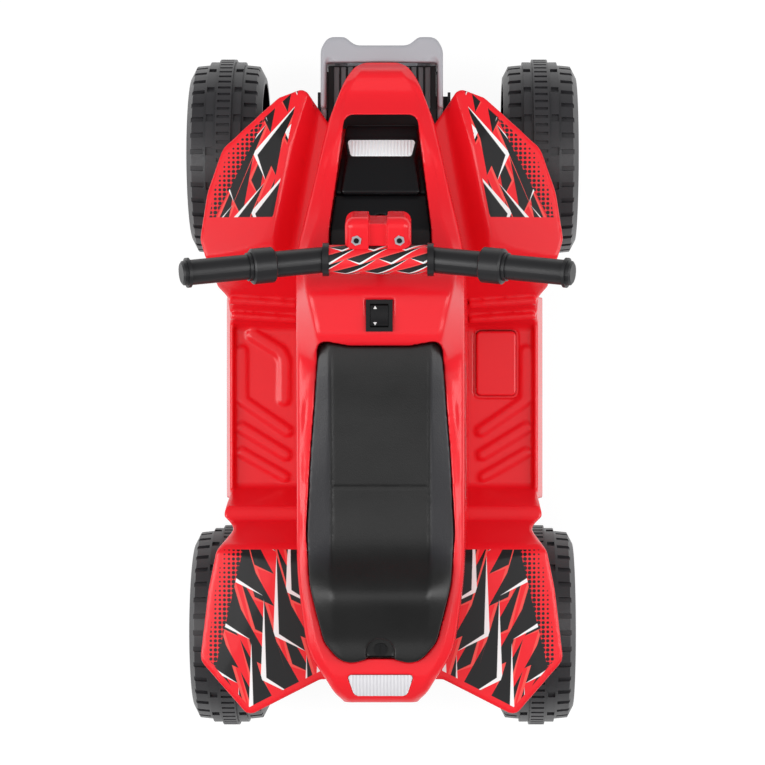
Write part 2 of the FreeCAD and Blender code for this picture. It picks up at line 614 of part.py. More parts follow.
# Front bumper: rounded hoop, top bar with forward horns and side arms, two fore-and-aft mounting bars.
hoop_corners = both_sides([(d.bumper_half_width, d.bumper_bottom, 16),
                           (d.bumper_half_width, d.bumper_top, 18)])
hoop_wire = front_wire(hoop_corners, d.bumper_front - d.bumper_depth)
hoop = prism(hoop_wire, Vector(0, d.bumper_depth, 0))
hoop = hoop.makeFillet(5, [edge for edge in hoop.Edges if abs(edge.BoundBox.YMin - d.bumper_front) < 0.01])
window = front_wire(hoop_corners, d.bumper_front - d.bumper_depth - 5).makeOffset2D(-13)
hoop = hoop.cut(prism(window, Vector(0, d.bumper_depth + 10, 0)))
horn_y = d.bumper_front + d.horn_reach
arm_inside = d.bumper_half_width - 5.5
top_bar = prism(plan_wire(both_sides([
    (27, d.bumper_front, 14), (37, horn_y, 8), (55, horn_y, 11),
    (d.bumper_half_width, d.bumper_front - 4, 16),
    (d.bumper_half_width, d.bumper_front - 63, 1), (arm_inside, d.bumper_front - 63, 1),
    (arm_inside, d.bumper_front - 13, 3), (36, d.bumper_front - d.bumper_depth, 25),
]), d.bumper_top - 13), Vector(0, 0, 13))
upper_edges = [edge for edge in top_bar.Edges if edge.BoundBox.ZMin > d.bumper_top - 0.01]
top_bar = top_bar.makeFillet(2.4, upper_edges)
pieces = [top_bar]
for sign in (-1, 1):
    arm = Part.makeBox(5.5, 62, 15, Vector(sign * (d.bumper_half_width - 2.75) - 2.75,
                                           d.bumper_front - 74, d.bumper_top - 28))
    post = Part.makeBox(11, 8, d.bumper_top - d.bumper_bottom - 16,
                        Vector(sign * 40.5 - 5.5, d.bumper_front - d.bumper_depth + 3, d.bumper_bottom + 8))
    mount = Part.makeBox(11, d.bumper_front - d.bumper_depth + 5 - front_y - 70, 14,
                         Vector(sign * 40.5 - 5.5, front_y + 70, d.fascia_height - 20))
    pieces += [arm, post, mount]
screw_holes = [Part.makeCylinder(d.screw_radius, 30, Vector(x, front_y + 60, d.fascia_height - 13), ALONG_Y)
               for x in (-40.5, 40.5)]
form("front_bumper", hoop.fuse(pieces).removeSplitter().cut(screw_holes))
node("bumper_screws", group(*[
    joined(rod("screw_head", "2", x, tray_front + " - 5", "fascia_height - 13", "Y"),
           rod("screw_radius", "12", x, tray_front + " - 3.5", "fascia_height - 13", "Y"))
    for x in ("-40.5", "40.5")]))

# Steering column, built along its own axis and then raked.
node("steering_column", place(without(joined(
    rod("column_radius", f"{COLUMN_LENGTH} + 16", 0, 0, "-8"),
    block("-8", "-steer_arm", "-8", "16", "steer_arm + 10", "6"),
    rod("8", "6", 0, "-steer_arm", "-8"),
    rod("link_pin_radius", "14", 0, "-steer_arm", "-20")),
    rod("2", "60", 0, "-30", f"{COLUMN_LENGTH} - 20", "Y")),
    0, FOOT_Y, "column_foot", ALONG_X, "rake"))
bush = joined(rod("15", "3", 0, 0, "deck_height"), rod("13.8", "22", 0, 0, "deck_height - 12"))
deck_bush = place(bush, 0, "bar_y + (bar_height - deck_height) * tan(rake * 1 deg)", 0)
bush_bore = rod("column_radius + running_gap", "300", 0, FOOT_Y, "column_foot")
bush_bore.Placement.Rotation = Rotation(ALONG_X, d.rake)
bind(bush_bore, Placement__Rotation__Angle="rake")
node("column_bush", without(deck_bush, bush_bore))

# Handlebar: straight centre, two raised arms with collar, ring, grip and end flange, split along the seam.
arm_length = (d.bar_half_length - d.bar_bend_x) / math.cos(math.radians(d.bar_rise))
collar_start = arm_length - 90.5
arm_profile = [
    (-4, 0), (-4, d.bar_radius), (collar_start, d.bar_radius), (collar_start, d.collar_radius - 1.5),
    (collar_start + 1.5, d.collar_radius), (collar_start + 21, d.collar_radius),
    (collar_start + 22.5, d.collar_radius - 1.5), (collar_start + 22.5, d.grip_radius + 1.6),
    (collar_start + 26, d.grip_radius + 1.6), (collar_start + 26, d.grip_radius),
    (arm_length - 8, d.grip_radius),
    (arm_length - 8, d.flange_radius), (arm_length - 5, d.flange_radius), (arm_length - 5, d.grip_radius),
    (arm_length - 1.5, d.grip_radius - 0.5), (arm_length, d.grip_radius - 2.5), (arm_length, 0),
]
arm_face = Part.Face(Part.makePolygon([Vector(x, 0, z) for x, z in arm_profile] + [Vector(-4, 0, 0)]))
arm = arm_face.revolve(ORIGIN, ALONG_X, 360)
arm_bore = Part.makeCylinder(d.bar_bore, arm_length - 2, Vector(-2, 0, 0), ALONG_X)
bar = Part.makeCylinder(d.bar_radius, 2 * d.bar_bend_x, Vector(-d.bar_bend_x, 0, 0), ALONG_X)
bar_room = Part.makeCylinder(d.bar_bore, 2 * d.bar_bend_x, Vector(-d.bar_bend_x, 0, 0), ALONG_X)
wrap = Part.makeCylinder(d.bar_radius + 1.5, 94, Vector(-47, 0, 0), ALONG_X)
solids = [wrap]
rooms = [bar_room]
for sign in (-1, 1):
    tilt = Placement(Vector(sign * d.bar_bend_x, 0, 0), Rotation(ALONG_Y, -sign * d.bar_rise))
    flip = Placement(ORIGIN, Rotation(UP, 0 if sign > 0 else 180))
    solids.append(arm.transformed(tilt.multiply(flip).toMatrix()))
    rooms.append(arm_bore.transformed(tilt.multiply(flip).toMatrix()))
    solids.append(Part.makeSphere(d.bar_radius, Vector(sign * d.bar_bend_x, 0, 0)))
    solids.append(Part.makeCylinder(16, 6, Vector(sign * 50 - 3, 0, 0), ALONG_X))
post = Part.makeCylinder(d.bar_radius + 1, 30, Vector(0, 0, -30), UP)
post_bore = Part.makeCylinder(d.column_radius, 45, Vector(0, 0, -35), UP)
bolt_bore = Part.makeCylinder(2, 60, Vector(0, -30, -20), ALONG_Y)
bar = bar.fuse(solids + [post]).cut(rooms + [post_bore, bolt_bore]).removeSplitter()
bar_spot = column_base + axis * column_length
raked = Rotation(ALONG_X, d.rake)
for label, low in (("handlebar_front_half", 0), ("handlebar_rear_half", -60)):
    half_space = Part.makeBox(500, 60, 300, Vector(-250, low, -100))
    form(label, bar.common(half_space), bar_spot, raked)

# Red pod in front of the bar: two humps with a trough between, hollow, open at the back.
width = d.pod_half_width


def pod_solid(inset):
    base = Part.makeBox(2 * (width - inset), d.pod_depth - inset, 38 - 2 * inset,
                        Vector(-width + inset, 0, -30 + inset))
    base = base.makeFillet(9 - inset, [edge for edge in base.Edges if edge.BoundBox.YMax > 9])
    half_trough = 9 + inset
    trough = Part.makeBox(2 * half_trough, 80, 30, Vector(-half_trough, -20, 3 - inset))
    notch = Part.makeBox(2 * half_trough, 30, 80, Vector(-half_trough, d.pod_depth - 6 - inset, -40))
    return base.cut([trough, notch])


pod = pod_solid(0).cut(pod_solid(d.pod_wall)).cut([
    Part.makeCylinder(d.bar_radius + 1.5, 200, Vector(-100, 0, 0), ALONG_X),
    Part.makeCylinder(d.bar_radius + 1, 60, Vector(0, 0, -50), UP),
])
form("handlebar_pod", pod, bar_spot, raked)
bolt = place(joined(rod("1.9", "30", 0, "-15", "-20", "Y"), rod("4", "3", 0, "-16.5", "-20", "Y")),
             0, f"{FOOT_Y} - {COLUMN_LENGTH} * sin(rake * 1 deg)", "bar_height", ALONG_X, "rake")
node("handlebar_bolt", bolt)

# Knuckles with sleeve, stub axle, steering arm and link pin; kingpins and nuts.
LINK_LOW = "link_height - link_thick / 2"
for side, sign in SIDES:
    king = f"{sign} * kingpin_x"
    stub_end = "front_half_track + hub_front + 8 - kingpin_x"
    shoulder = "front_half_track - hub_back - 0.3 - kingpin_x"
    stub = rod("axle_radius", stub_end, king if sign > 0 else f"-kingpin_x - ({stub_end})", "front_axle_y",
               "wheel_radius", "X")
    collar = rod("8", shoulder, king if sign > 0 else f"-kingpin_x - ({shoulder})", "front_axle_y",
                 "wheel_radius", "X")
    knuckle = joined(
        rod("sleeve_radius", "lug_gap - 1", king, "front_axle_y", "wheel_radius - lug_gap / 2 + 0.5"), stub,
        collar,
        block(f"{king} - 7", "front_axle_y - steer_arm", f"{LINK_LOW} - 6.5", "14", "steer_arm", "6"),
        rod("7", "6", king, "front_axle_y - steer_arm", f"{LINK_LOW} - 6.5"),
        rod("link_pin_radius", "link_thick + 4", king, "front_axle_y - steer_arm", f"{LINK_LOW} - 1"))
    node(f"{side}_knuckle", without(knuckle, rod("kingpin_radius + running_gap", "100", king,
                                                 "front_axle_y", "wheel_radius - 50")))
    nut_x = "front_half_track + hub_front + 2.6" if sign > 0 else "-front_half_track - hub_front - 7.6"
    washer_x = "front_half_track + hub_front + 1.3" if sign > 0 else "-front_half_track - hub_front - 2.6"
    node(f"{side}_front_axle_nut", without(
        joined(hexagon("nut_across / 2", "5", nut_x, "front_axle_y", "wheel_radius", "X"),
               rod("10", "1.3", washer_x, "front_axle_y", "wheel_radius", "X")),
        rod("axle_radius", "20", f"{nut_x} - 8", "front_axle_y", "wheel_radius", "X")))
node("kingpin_bolts", group(*[
    joined(rod("kingpin_radius", "lug_gap + 2 * lug_thick", f"{sign} * kingpin_x", "front_axle_y",
               "wheel_radius - lug_gap / 2 - lug_thick"),
           hexagon("nut_across / 2", "4", f"{sign} * kingpin_x", "front_axle_y",
                   "wheel_radius + lug_gap / 2 + lug_thick"),
           hexagon("nut_across / 2", "4", f"{sign} * kingpin_x", "front_axle_y",
                   "wheel_radius - lug_gap / 2 - lug_thick - 4"))
    for side, sign in SIDES]))

# Tie rod: flat link with an eye at each end and a raked tab for the crank pin.
tab = place(without(
    joined(block("-9", "-steer_arm", "-12.5", "18", "steer_arm - 13", "4"),
           rod("9", "4", 0, "-steer_arm", "-12.5")),
    rod("link_pin_radius + 0.3", "30", 0, "-steer_arm", "-25")), 0, FOOT_Y, "column_foot", ALONG_X, "rake")
link = joined(
    block("-kingpin_x", "front_axle_y - steer_arm - 5", LINK_LOW, "2 * kingpin_x", "10", "link_thick"), tab,
    *[rod("7", "link_thick", f"{sign} * kingpin_x", "front_axle_y - steer_arm", LINK_LOW)
      for side, sign in SIDES])
node("tie_rod", without(
    link,
    rod("link_pin_radius + running_gap", "30", "-kingpin_x", "front_axle_y - steer_arm",
        "link_height - 15"),
    rod("link_pin_radius + 0.3", "30", "kingpin_x", "front_axle_y - steer_arm", "link_height - 15")))

# Wheel: stepped tread, dished face with spokes, open back with ribs and a hub with drive slots.
TREAD = "wheel_radius - tread_depth"
EDGE = "wheel_width / 2"
wheel = turned([
    (f"-{EDGE}", "wheel_radius - 25"), (f"-{EDGE}", "wheel_radius - 19"),
    (f"-{EDGE} + 6", "wheel_radius - 7.5"),
    ("-tread_step / 2", "wheel_radius - 6"), ("-tread_step / 2", TREAD), ("-tread_band / 2", TREAD),
    ("-tread_band / 2", "wheel_radius"), ("tread_band / 2", "wheel_radius"), ("tread_band / 2", TREAD),
    ("tread_step / 2", TREAD), ("tread_step / 2", "wheel_radius - 6"),
    (f"{EDGE} - 6", "wheel_radius - 7.5"),
    (EDGE, "wheel_radius - 19"), (EDGE, "wheel_radius - 34"), (f"{EDGE} - 2", "wheel_radius - 36"),
    ("hub_front - 3", "wheel_radius - 40"), ("hub_front - 4", "23.7"), ("hub_front", "23.7"),
    ("hub_front", "bush_radius"),
    ("-hub_back", "bush_radius"), ("-hub_back", "hub_radius"), ("hub_front - 8", "hub_radius"),
    ("hub_front - 7", "wheel_radius - 37"), (f"{EDGE} - 4", "wheel_radius - 32"),
    (f"{EDGE} - 4", "wheel_radius - 20"),
    (f"{EDGE} - 10", "wheel_radius - 12"), (f"-{EDGE} + 8", "wheel_radius - 12"),
])
rib_cut = pocket(wheel, "YZ_Plane", [("-1.6", "wheel_radius - 2.2"), ("1.6", "wheel_radius - 2.2"),
                                     ("1.6", "wheel_radius + 3"), ("-1.6", "wheel_radius + 3")],
                                     "tread_band - 3")
repeated(wheel, rib_cut, "rib_count")
for sign in (-1, 1):
    blocks = pocket(wheel, "YZ_Plane", [("-2.6", "wheel_radius - 10"), ("2.6", "wheel_radius - 10"),
                                        ("2.6", "wheel_radius + 3"), ("-2.6", "wheel_radius + 3")],
                    "wheel_width / 2 - tread_step / 2 - 2",
                    f"{sign} * (wheel_width / 4 + tread_step / 4 + 1.5)")
    repeated(wheel, blocks, "block_count")
    lugs = pocket(wheel, "YZ_Plane", [("-4", f"{TREAD} - 2.5"), ("4", f"{TREAD} - 2.5"),
                                      ("4", "wheel_radius + 3"), ("-4", "wheel_radius + 3")],
                  "tread_step / 2 - tread_band / 2 - 2.5",
                  f"{sign} * (tread_step / 4 + tread_band / 4 + 1)")
    repeated(wheel, lugs, "block_count / 2")
spoke = pad(wheel, "YZ_Plane", [("-7", "27"), ("7", "27"), ("9", "wheel_radius - 38"),
                                ("-9", "wheel_radius - 38")],
            "7", "hub_front - 2.5")
repeated(wheel, spoke, "spoke_count")
web = pad(wheel, "YZ_Plane", [("-1.5", "hub_radius - 3"), ("1.5", "hub_radius - 3"),
                              ("1.5", "wheel_radius - 11"), ("-1.5", "wheel_radius - 11")], "24",
                              "hub_front - 19")
repeated(wheel, web, "spoke_count")
dog_slot = pocket(wheel, "YZ_Plane", [("-3.2", "bush_radius + 1"), ("3.2", "bush_radius + 1"),
                                      ("3.2", "hub_radius - 1"), ("-3.2", "hub_radius - 1")], "16",
                                      "-hub_back")
repeated(wheel, dog_slot, "spoke_count / 2")
bush = turned([
    ("-hub_back", "axle_radius + running_gap"), ("-hub_back", "bush_radius"), ("hub_front", "bush_radius"),
    ("hub_front", "bush_radius + 4"), ("hub_front + 1.2", "bush_radius + 4"),
    ("hub_front + 1.2", "axle_radius + running_gap"),
])
cap = turned([
    ("hub_front - 3.9", "24"), ("hub_front - 3.9", "26.5"), ("hub_front + 9", "26.5"),
    ("hub_front + 11", "24"),
    ("hub_front + 13", "15"), ("hub_front + 13", "0"), ("hub_front + 11", "0"), ("hub_front + 11", "14"),
    ("hub_front + 9", "22"), ("hub_front", "24"),
])
doc.recompute()
for end, half_track, axle_y in (("front", d.front_half_track, front_y),
                                ("rear", d.rear_half_track, rear_y)):
    for side, sign in SIDES:
        stand = Vector(sign * half_track, axle_y, d.wheel_radius)
        for name, master in (("wheel", wheel), ("hub_cap", cap), ("wheel_bush", bush)):
            shape = master.Shape if sign > 0 else mirrored(master.Shape)
            form(f"{end}_{side}_{name}", shape, stand)

# Rear axle with spacer, washers and lock nuts.
AXLE_END = "rear_half_track + hub_front + 8"
node("rear_axle", rod("axle_radius", f"2 * ({AXLE_END})", f"-({AXLE_END})", REAR_AXLE, "wheel_radius", "X"))
node("axle_spacer", without(
    rod("9", "rear_half_track - hub_back - 0.3 - tray_half_width - 8", "-rear_half_track + hub_back + 0.3",
        REAR_AXLE, "wheel_radius", "X"),
    rod("axle_radius", "200", "-rear_half_track", REAR_AXLE, "wheel_radius", "X")))
node("rear_axle_nuts", without(
    group(*[
        joined(hexagon("nut_across / 2", "5", nut_x, REAR_AXLE, "wheel_radius", "X"),
               rod("10", "1.3", washer_x, REAR_AXLE, "wheel_radius", "X"))
        for nut_x, washer_x in (
            ("rear_half_track + hub_front + 2.6", "rear_half_track + hub_front + 1.3"),
            ("-rear_half_track - hub_front - 7.6", "-rear_half_track - hub_front - 2.6"))]),
    rod("axle_radius", "500", "-250", REAR_AXLE, "wheel_radius", "X")))

# Gear train: motor pinion, two-step reduction gear, output gear on the driven wheel.
module = d.gear_module
centre_distance = module * (d.wheel_teeth + d.pinion_teeth) / 2
output_spot = Vector(0, rear_y, d.wheel_radius)


def polar(angle, distance):
    return Vector(0, math.cos(math.radians(angle)), math.sin(math.radians(angle))) * distance


reduction_spot = output_spot + polar(d.stage_two_angle, centre_distance)
motor_spot = reduction_spot + polar(d.stage_one_angle, centre_distance)
PRESSURE = math.radians(25)


def involute_angle(radius, base):
    if radius <= base:
        return 0
    slope = math.acos(base / radius)
    return math.tan(slope) - slope


def toothed(teeth, gear_width, phase):
    """Spur gear along X with involute flanks, one tooth centred at the phase angle."""
    pitch = module * teeth / 2
    base = pitch * math.cos(PRESSURE)
    root = pitch - 1.05 * module
    tip = pitch + 0.8 * module
    half_tooth = (math.pi * module / 2 - d.backlash) / 2 / pitch + involute_angle(pitch, base)
    radii = [max(root, base) + (tip - max(root, base)) * step / 4 for step in range(5)]
    points = []
    for tooth in range(int(teeth)):
        middle = math.radians(phase) + 2 * math.pi * tooth / teeth
        flank = [(radius, half_tooth - involute_angle(radius, base)) for radius in radii]
        if root < base:
            flank.insert(0, (root, half_tooth))
        points += [(radius, middle - angle) for radius, angle in flank]
        points += [(radius, middle + angle) for radius, angle in reversed(flank)]
    outline = [Vector(0, radius * math.cos(angle), radius * math.sin(angle)) for radius, angle in points]
    return prism(Part.makePolygon(outline + outline[:1]), Vector(gear_width, 0, 0))


inner_x = d.gear_x
output_x = inner_x + d.gear_width + 1
output_phase = d.stage_two_angle
small_phase = d.stage_two_angle + 180 + 180 / d.pinion_teeth
big_phase = d.stage_one_angle
pinion_phase = d.stage_one_angle + 180 + 180 / d.pinion_teeth
hub_end = d.rear_half_track - d.hub_back
output = toothed(d.wheel_teeth, d.gear_width, output_phase)
output.translate(Vector(output_x, 0, 0))
hub_tube = Part.makeCylinder(14, hub_end - 0.3 - output_x, Vector(output_x, 0, 0), ALONG_X)
dogs = []
for index in range(int(d.spoke_count / 2)):
    dog = Part.makeBox(13, 6, d.hub_radius - d.bush_radius - 4.4,
                       Vector(hub_end - 6, -3, d.bush_radius + 1.2))
    dog.rotate(ORIGIN, ALONG_X, index * 720 / d.spoke_count)
    dogs.append(dog)
output = output.fuse([hub_tube] + dogs)
output = output.cut(Part.makeCylinder(d.axle_radius + d.running_gap, 200, Vector(0, 0, 0), ALONG_X))
form("output_gear", output, output_spot)
big = toothed(d.wheel_teeth, d.gear_width, big_phase).translated(Vector(inner_x, 0, 0))
small = toothed(d.pinion_teeth, d.gear_width + 2,
                small_phase).translated(Vector(inner_x + d.gear_width - 0.5, 0, 0))
shaft_hole = Part.makeCylinder(d.shaft_radius + d.running_gap, 100, Vector(0, 0, 0), ALONG_X)
form("reduction_gear", big.fuse(small).cut(shaft_hole), reduction_spot)
pinion = toothed(d.pinion_teeth, d.gear_width, pinion_phase).translated(Vector(inner_x, 0, 0))
pinion = pinion.cut(Part.makeCylinder(1.2 + d.running_gap, 100, ORIGIN, ALONG_X))
form("motor_pinion", pinion, motor_spot)

# Gearbox case in two halves round the gears, with the motor on its inner face.
gear_tip = module * d.wheel_teeth / 2 + module
case_left = inner_x - 1 - d.case_wall
case_right = output_x + d.gear_width + 1.8 + d.case_wall


def case_solid(grow, low_x, high_x):
    spots = ((output_spot, gear_tip + 0.6), (reduction_spot, gear_tip + 0.6), (motor_spot, 11))
    parts = []
    for spot, radius in spots:
        parts.append(Part.makeCylinder(radius + grow, high_x - low_x, spot + Vector(low_x, 0, 0), ALONG_X))
    return parts[0].fuse(parts[1:])


split_x = inner_x + d.gear_width + 0.5
room = case_solid(0, inner_x - 1, output_x + d.gear_width + 1.8)
shaft_pin = Part.makeCylinder(d.shaft_radius, case_right - case_left,
                              reduction_spot + Vector(case_left, 0, 0), ALONG_X)
axle_pass = Part.makeCylinder(d.axle_radius, 300, output_spot, ALONG_X)
hub_pass = Part.makeCylinder(14.4, 300, output_spot + Vector(split_x, 0, 0), ALONG_X)
nose_pass = Part.makeCylinder(5.05, 300, motor_spot, ALONG_X)
for label, low, high in (("gearbox_inner_case", case_left, split_x),
                         ("gearbox_outer_case", split_x, case_right)):
    case = case_solid(d.case_wall, low, high).cut([room, shaft_pin, axle_pass, hub_pass])
    if low == case_left:
        case = case.cut(nose_pass)
    form(label, case.removeSplitter())
form("reduction_shaft", shaft_pin)
can_spot = motor_spot + Vector(case_left - d.motor_length, 0, 0)
can = Part.makeCylinder(d.motor_radius, d.motor_length, can_spot, ALONG_X)
nose = Part.makeCylinder(5, d.case_wall + 0.5, motor_spot + Vector(case_left, 0, 0), ALONG_X)
spindle = Part.makeCylinder(1.2, d.gear_width + 4, motor_spot + Vector(case_left + d.case_wall, 0, 0),
                            ALONG_X)
tail_cap = Part.makeCylinder(5, 3, motor_spot + Vector(case_left - d.motor_length - 3, 0, 0), ALONG_X)
form("drive_motor", can.fuse([nose, spindle, tail_cap]))

# Battery, strap and charging socket in the bay under the seat.
node("battery", joined(
    block("-battery_width / 2", "battery_y - battery_depth / 2", "floor_height", "battery_width",
          "battery_depth", "battery_tall - 5"),
    block("-battery_width / 2 + 4", "battery_y - battery_depth / 2 + 4", "floor_height",
          "battery_width - 8", "battery_depth - 8", "battery_tall - 2"),
    *[block(x, "battery_y - 3", "floor_height", "2", "6", "battery_tall + 3")
      for x in ("-battery_width / 2 + 10", "battery_width / 2 - 12")]))
STRAP = "(battery_width / 2 + 2)"
node("battery_strap", joined(
    *[block(x, "battery_y + 7", "floor_height", "2", "10", "battery_tall")
      for x in (f"-{STRAP}", "battery_width / 2")],
    *[block(x, "battery_y + 7", "floor_height", "14", "10", "2")
      for x in (f"-{STRAP} - 12", "battery_width / 2")],
    block(f"-{STRAP}", "battery_y + 7", "floor_height + battery_tall - 2", f"2 * {STRAP}", "10", "2")))
node("charging_socket", without(
    joined(rod("7", "26", "40", "battery_y + 62", "floor_height"),
           rod("10", "2", "40", "battery_y + 62", "floor_height")),
    rod("3", "14", "40", "battery_y + 62", "floor_height + 14")))

# Foot pedal on a heel pin, with the box and switch under the floor.
heel_y = "pedal_front_y - pedal_length + 6"
heel_z = "floor_height - 7"
pedal_top = d.floor_height + d.pedal_lift
pedal_low = d.pedal_front_y - d.pedal_length
pedal_left = d.pedal_x - d.pedal_width / 2
pedal_right = d.pedal_x + d.pedal_width / 2
pedal_corners = [
    (pedal_left, d.pedal_front_y, 5), (pedal_right, d.pedal_front_y, 5), (pedal_right, pedal_low, 5),
    (pedal_left, pedal_low, 5),
]
plate = prism(plan_wire(pedal_corners, d.floor_height - 11), Vector(0, 0, d.pedal_lift + 11))
top_edges = [edge for edge in plate.Edges if edge.BoundBox.ZMin > pedal_top - 0.01]
plate = plate.makeFillet(2, top_edges)
inside = plan_wire(pedal_corners, d.floor_height - 12).makeOffset2D(-3)
plate = plate.cut(prism(inside, Vector(0, 0, d.pedal_lift + 12 - d.pedal_thick)))
pin_spot = Vector(d.pedal_x - 60, pedal_low + 6, d.floor_height - 7)
form("foot_pedal", plate.cut(Part.makeCylinder(2 + d.running_gap, 120, pin_spot, ALONG_X)))
BOX_LEFT = "pedal_x - pedal_width / 2 - 5"
BOX_LOW = "pedal_front_y - pedal_length - 5"
node("pedal_box", without(
    block(BOX_LEFT, BOX_LOW, "floor_height - 24", "pedal_width + 10", "pedal_length + 10", "24 - wall"),
    block(f"{BOX_LEFT} + 2.5", f"{BOX_LOW} + 2.5", "floor_height - 21.5", "pedal_width + 5",
          "pedal_length + 5", "30"),
    rod("2", "100", "pedal_x - 50", heel_y, heel_z, "X")))
node("pedal_pin", rod("2", "pedal_width + 10", BOX_LEFT, heel_y, heel_z, "X"))
node("pedal_switch", joined(
    block("pedal_x - 10", "pedal_front_y - 30", "floor_height - 21.5", "20", "12", "11"),
    rod("2", "8", "pedal_x", "pedal_front_y - 24", "floor_height - 11")))

# Rocker switch on the tank top.
SWITCH_TOP = "tank_height - 1"
node("switch_bezel", without(
    joined(block("-switch_width / 2", "switch_y - switch_length / 2", SWITCH_TOP, "switch_width",
                 "switch_length", "3"),
           block("-switch_width / 2 + 2.3", "switch_y - switch_length / 2 + 2.3", f"{SWITCH_TOP} - 20",
                 "switch_width - 4.6", "switch_length - 4.6", "20")),
    block("-switch_width / 2 + 4", "switch_y - switch_length / 2 + 4", f"{SWITCH_TOP} - 14",
          "switch_width - 8", "switch_length - 8", "30"),
    rod("1.5", "40", "-20", "switch_y", f"{SWITCH_TOP} - 3", "X")))
rocker_half = d.switch_length / 2 - 5.4
rocker_base = tank - 1
rocker_side = [(d.switch_y - rocker_half, rocker_base - 5, 0),
               (d.switch_y + rocker_half, rocker_base - 5, 0),
               (d.switch_y + rocker_half, rocker_base + 4.6, 1), (d.switch_y, rocker_base + 2.4, 30),
               (d.switch_y - rocker_half, rocker_base + 4.6, 1)]
rocker_wire = side_wire(rocker_side)
rocker_wire.translate(Vector(-d.switch_width / 2 + 4.4, 0, 0))
rocker = prism(rocker_wire, Vector(d.switch_width - 8.8, 0, 0))
pivot_spot = Vector(-d.switch_width / 2 + 3, d.switch_y, rocker_base - 3)
pivot = Part.makeCylinder(1.45, d.switch_width - 6, pivot_spot, ALONG_X)
form("rocker", rocker.fuse(pivot))

# Screws that hold the tray up under the floor.
node("tray_screws", group(*[
    joined(rod("screw_head", "2.4", f"{sign} * 58", y, "floor_height - wall - 10.4"),
           rod("screw_radius", "10.5", f"{sign} * 58", y, "floor_height - wall - 8"))
    for side, sign in SIDES for y in BRACE_Y]))

doc.recompute()
for thing in doc.Objects:
    if "Invalid" in thing.State or "Error" in thing.State:
        raise RuntimeError(f"{thing.Label} did not build")
os.makedirs("parts", exist_ok=True)
for piece in nodes:
    shape = piece.Shape
    if shape.isNull() or not shape.isValid() or not shape.Solids:
        raise RuntimeError(f"{piece.Label} has no valid solid")
    shape.exportStep(f"parts/{piece.Label}.step")
    print(piece.Label, len(shape.Solids), len(shape.Faces), round(shape.Volume))
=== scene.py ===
# %% [markdown]
# A kids quad bike, seen straight from above. The solids, their names and their joints come from the packed
# CAD frame. This lesson gives every solid its finish, softens the moulded edges, and adds the prints and
# small trim that a CAD model leaves out. Everything is in metres: X to the rider's right, Y forward, Z up.

# %% Load the frame
import math
import bmesh
import bpy
from mathutils import Matrix, Vector


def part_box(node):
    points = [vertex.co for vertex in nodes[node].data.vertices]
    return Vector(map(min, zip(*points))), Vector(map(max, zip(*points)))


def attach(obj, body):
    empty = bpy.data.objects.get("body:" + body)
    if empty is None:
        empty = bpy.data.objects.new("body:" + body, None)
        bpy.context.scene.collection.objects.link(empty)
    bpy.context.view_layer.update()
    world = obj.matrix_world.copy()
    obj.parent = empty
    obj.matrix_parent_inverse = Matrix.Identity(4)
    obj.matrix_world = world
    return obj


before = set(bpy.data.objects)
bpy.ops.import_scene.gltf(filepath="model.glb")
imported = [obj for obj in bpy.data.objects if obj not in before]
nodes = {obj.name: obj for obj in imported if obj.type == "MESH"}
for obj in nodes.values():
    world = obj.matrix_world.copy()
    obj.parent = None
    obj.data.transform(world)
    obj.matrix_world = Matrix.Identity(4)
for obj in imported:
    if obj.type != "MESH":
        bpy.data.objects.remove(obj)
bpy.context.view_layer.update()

# %% [markdown]
# The photograph looks straight down from about three metres. The camera stands a little to the right of
# the centre line, so the left flanks of the tank and the seat are seen more than the right ones. A shift of
# the sensor keeps the bike in the middle of the frame without tilting the camera.

# %% Camera above the bike
PHOTO_WIDTH = 765
FOCAL_PIXELS = 2736
NADIR_PIXEL = 441
CAMERA_SPOT = Vector((0.060, 0.0055, 3.0))
SENSOR = 36.0

camera_data = bpy.data.cameras.new("camera")
camera_data.sensor_width = SENSOR
camera_data.lens = FOCAL_PIXELS / PHOTO_WIDTH * SENSOR
camera_data.shift_x = (PHOTO_WIDTH / 2 - NADIR_PIXEL) / PHOTO_WIDTH
camera = bpy.data.objects.new("camera", camera_data)
camera.location = CAMERA_SPOT
scene = bpy.context.scene
scene.collection.objects.link(camera)
scene.camera = camera
scene.view_settings.view_transform = "Standard"
print("lens in millimetres:", round(camera_data.lens, 1))

# %% [markdown]
# Materials are wired by a few small helpers. One adds a node and fills its sockets with numbers or with
# the sockets of other nodes, one does a sum, one mixes two colours and one stretches a value.

# %% Helpers for nodes


def fill(tree, socket, value):
    """Give a socket a number, a colour or a link."""
    if isinstance(value, bpy.types.NodeSocket):
        tree.links.new(value, socket)
    else:
        socket.default_value = value


def put(tree, kind, settings=None, **inputs):
    """Add a node; an input called Base_Color fills the socket Base Color."""
    node = tree.nodes.new(kind)
    for name, value in (settings or {}).items():
        setattr(node, name, value)
    for name, value in inputs.items():
        fill(tree, node.inputs[name.replace("_", " ")], value)
    return node


def sums(tree, operation, *values):
    """One Math node; returns its result."""
    node = put(tree, "ShaderNodeMath", {"operation": operation})
    for socket, value in zip(node.inputs, values):
        fill(tree, socket, value)
    return node.outputs["Value"]


def mixed(tree, factor, low, high):
    """Colour that goes from low to high with the factor."""
    node = put(tree, "ShaderNodeMix", {"data_type": "RGBA"}, Factor=factor, A=low, B=high)
    return node.outputs["Result"]


def spread(tree, value, low, high, to_low=0.0, to_high=1.0):
    """Value stretched from one range to another and held inside it."""
    node = put(tree, "ShaderNodeMapRange", Value=value, From_Min=low, From_Max=high, To_Min=to_low,
               To_Max=to_high)
    return node.outputs["Result"]


print("node helpers ready")

# %% [markdown]
# A few more helpers start things off: a material with its Principled BSDF, a node group with its sockets,
# and the three axes of a vector. Patterns read Object coordinates. Every piece sits at the origin, so these
# are the coordinates of the whole bike.

# %% Helpers for materials and groups


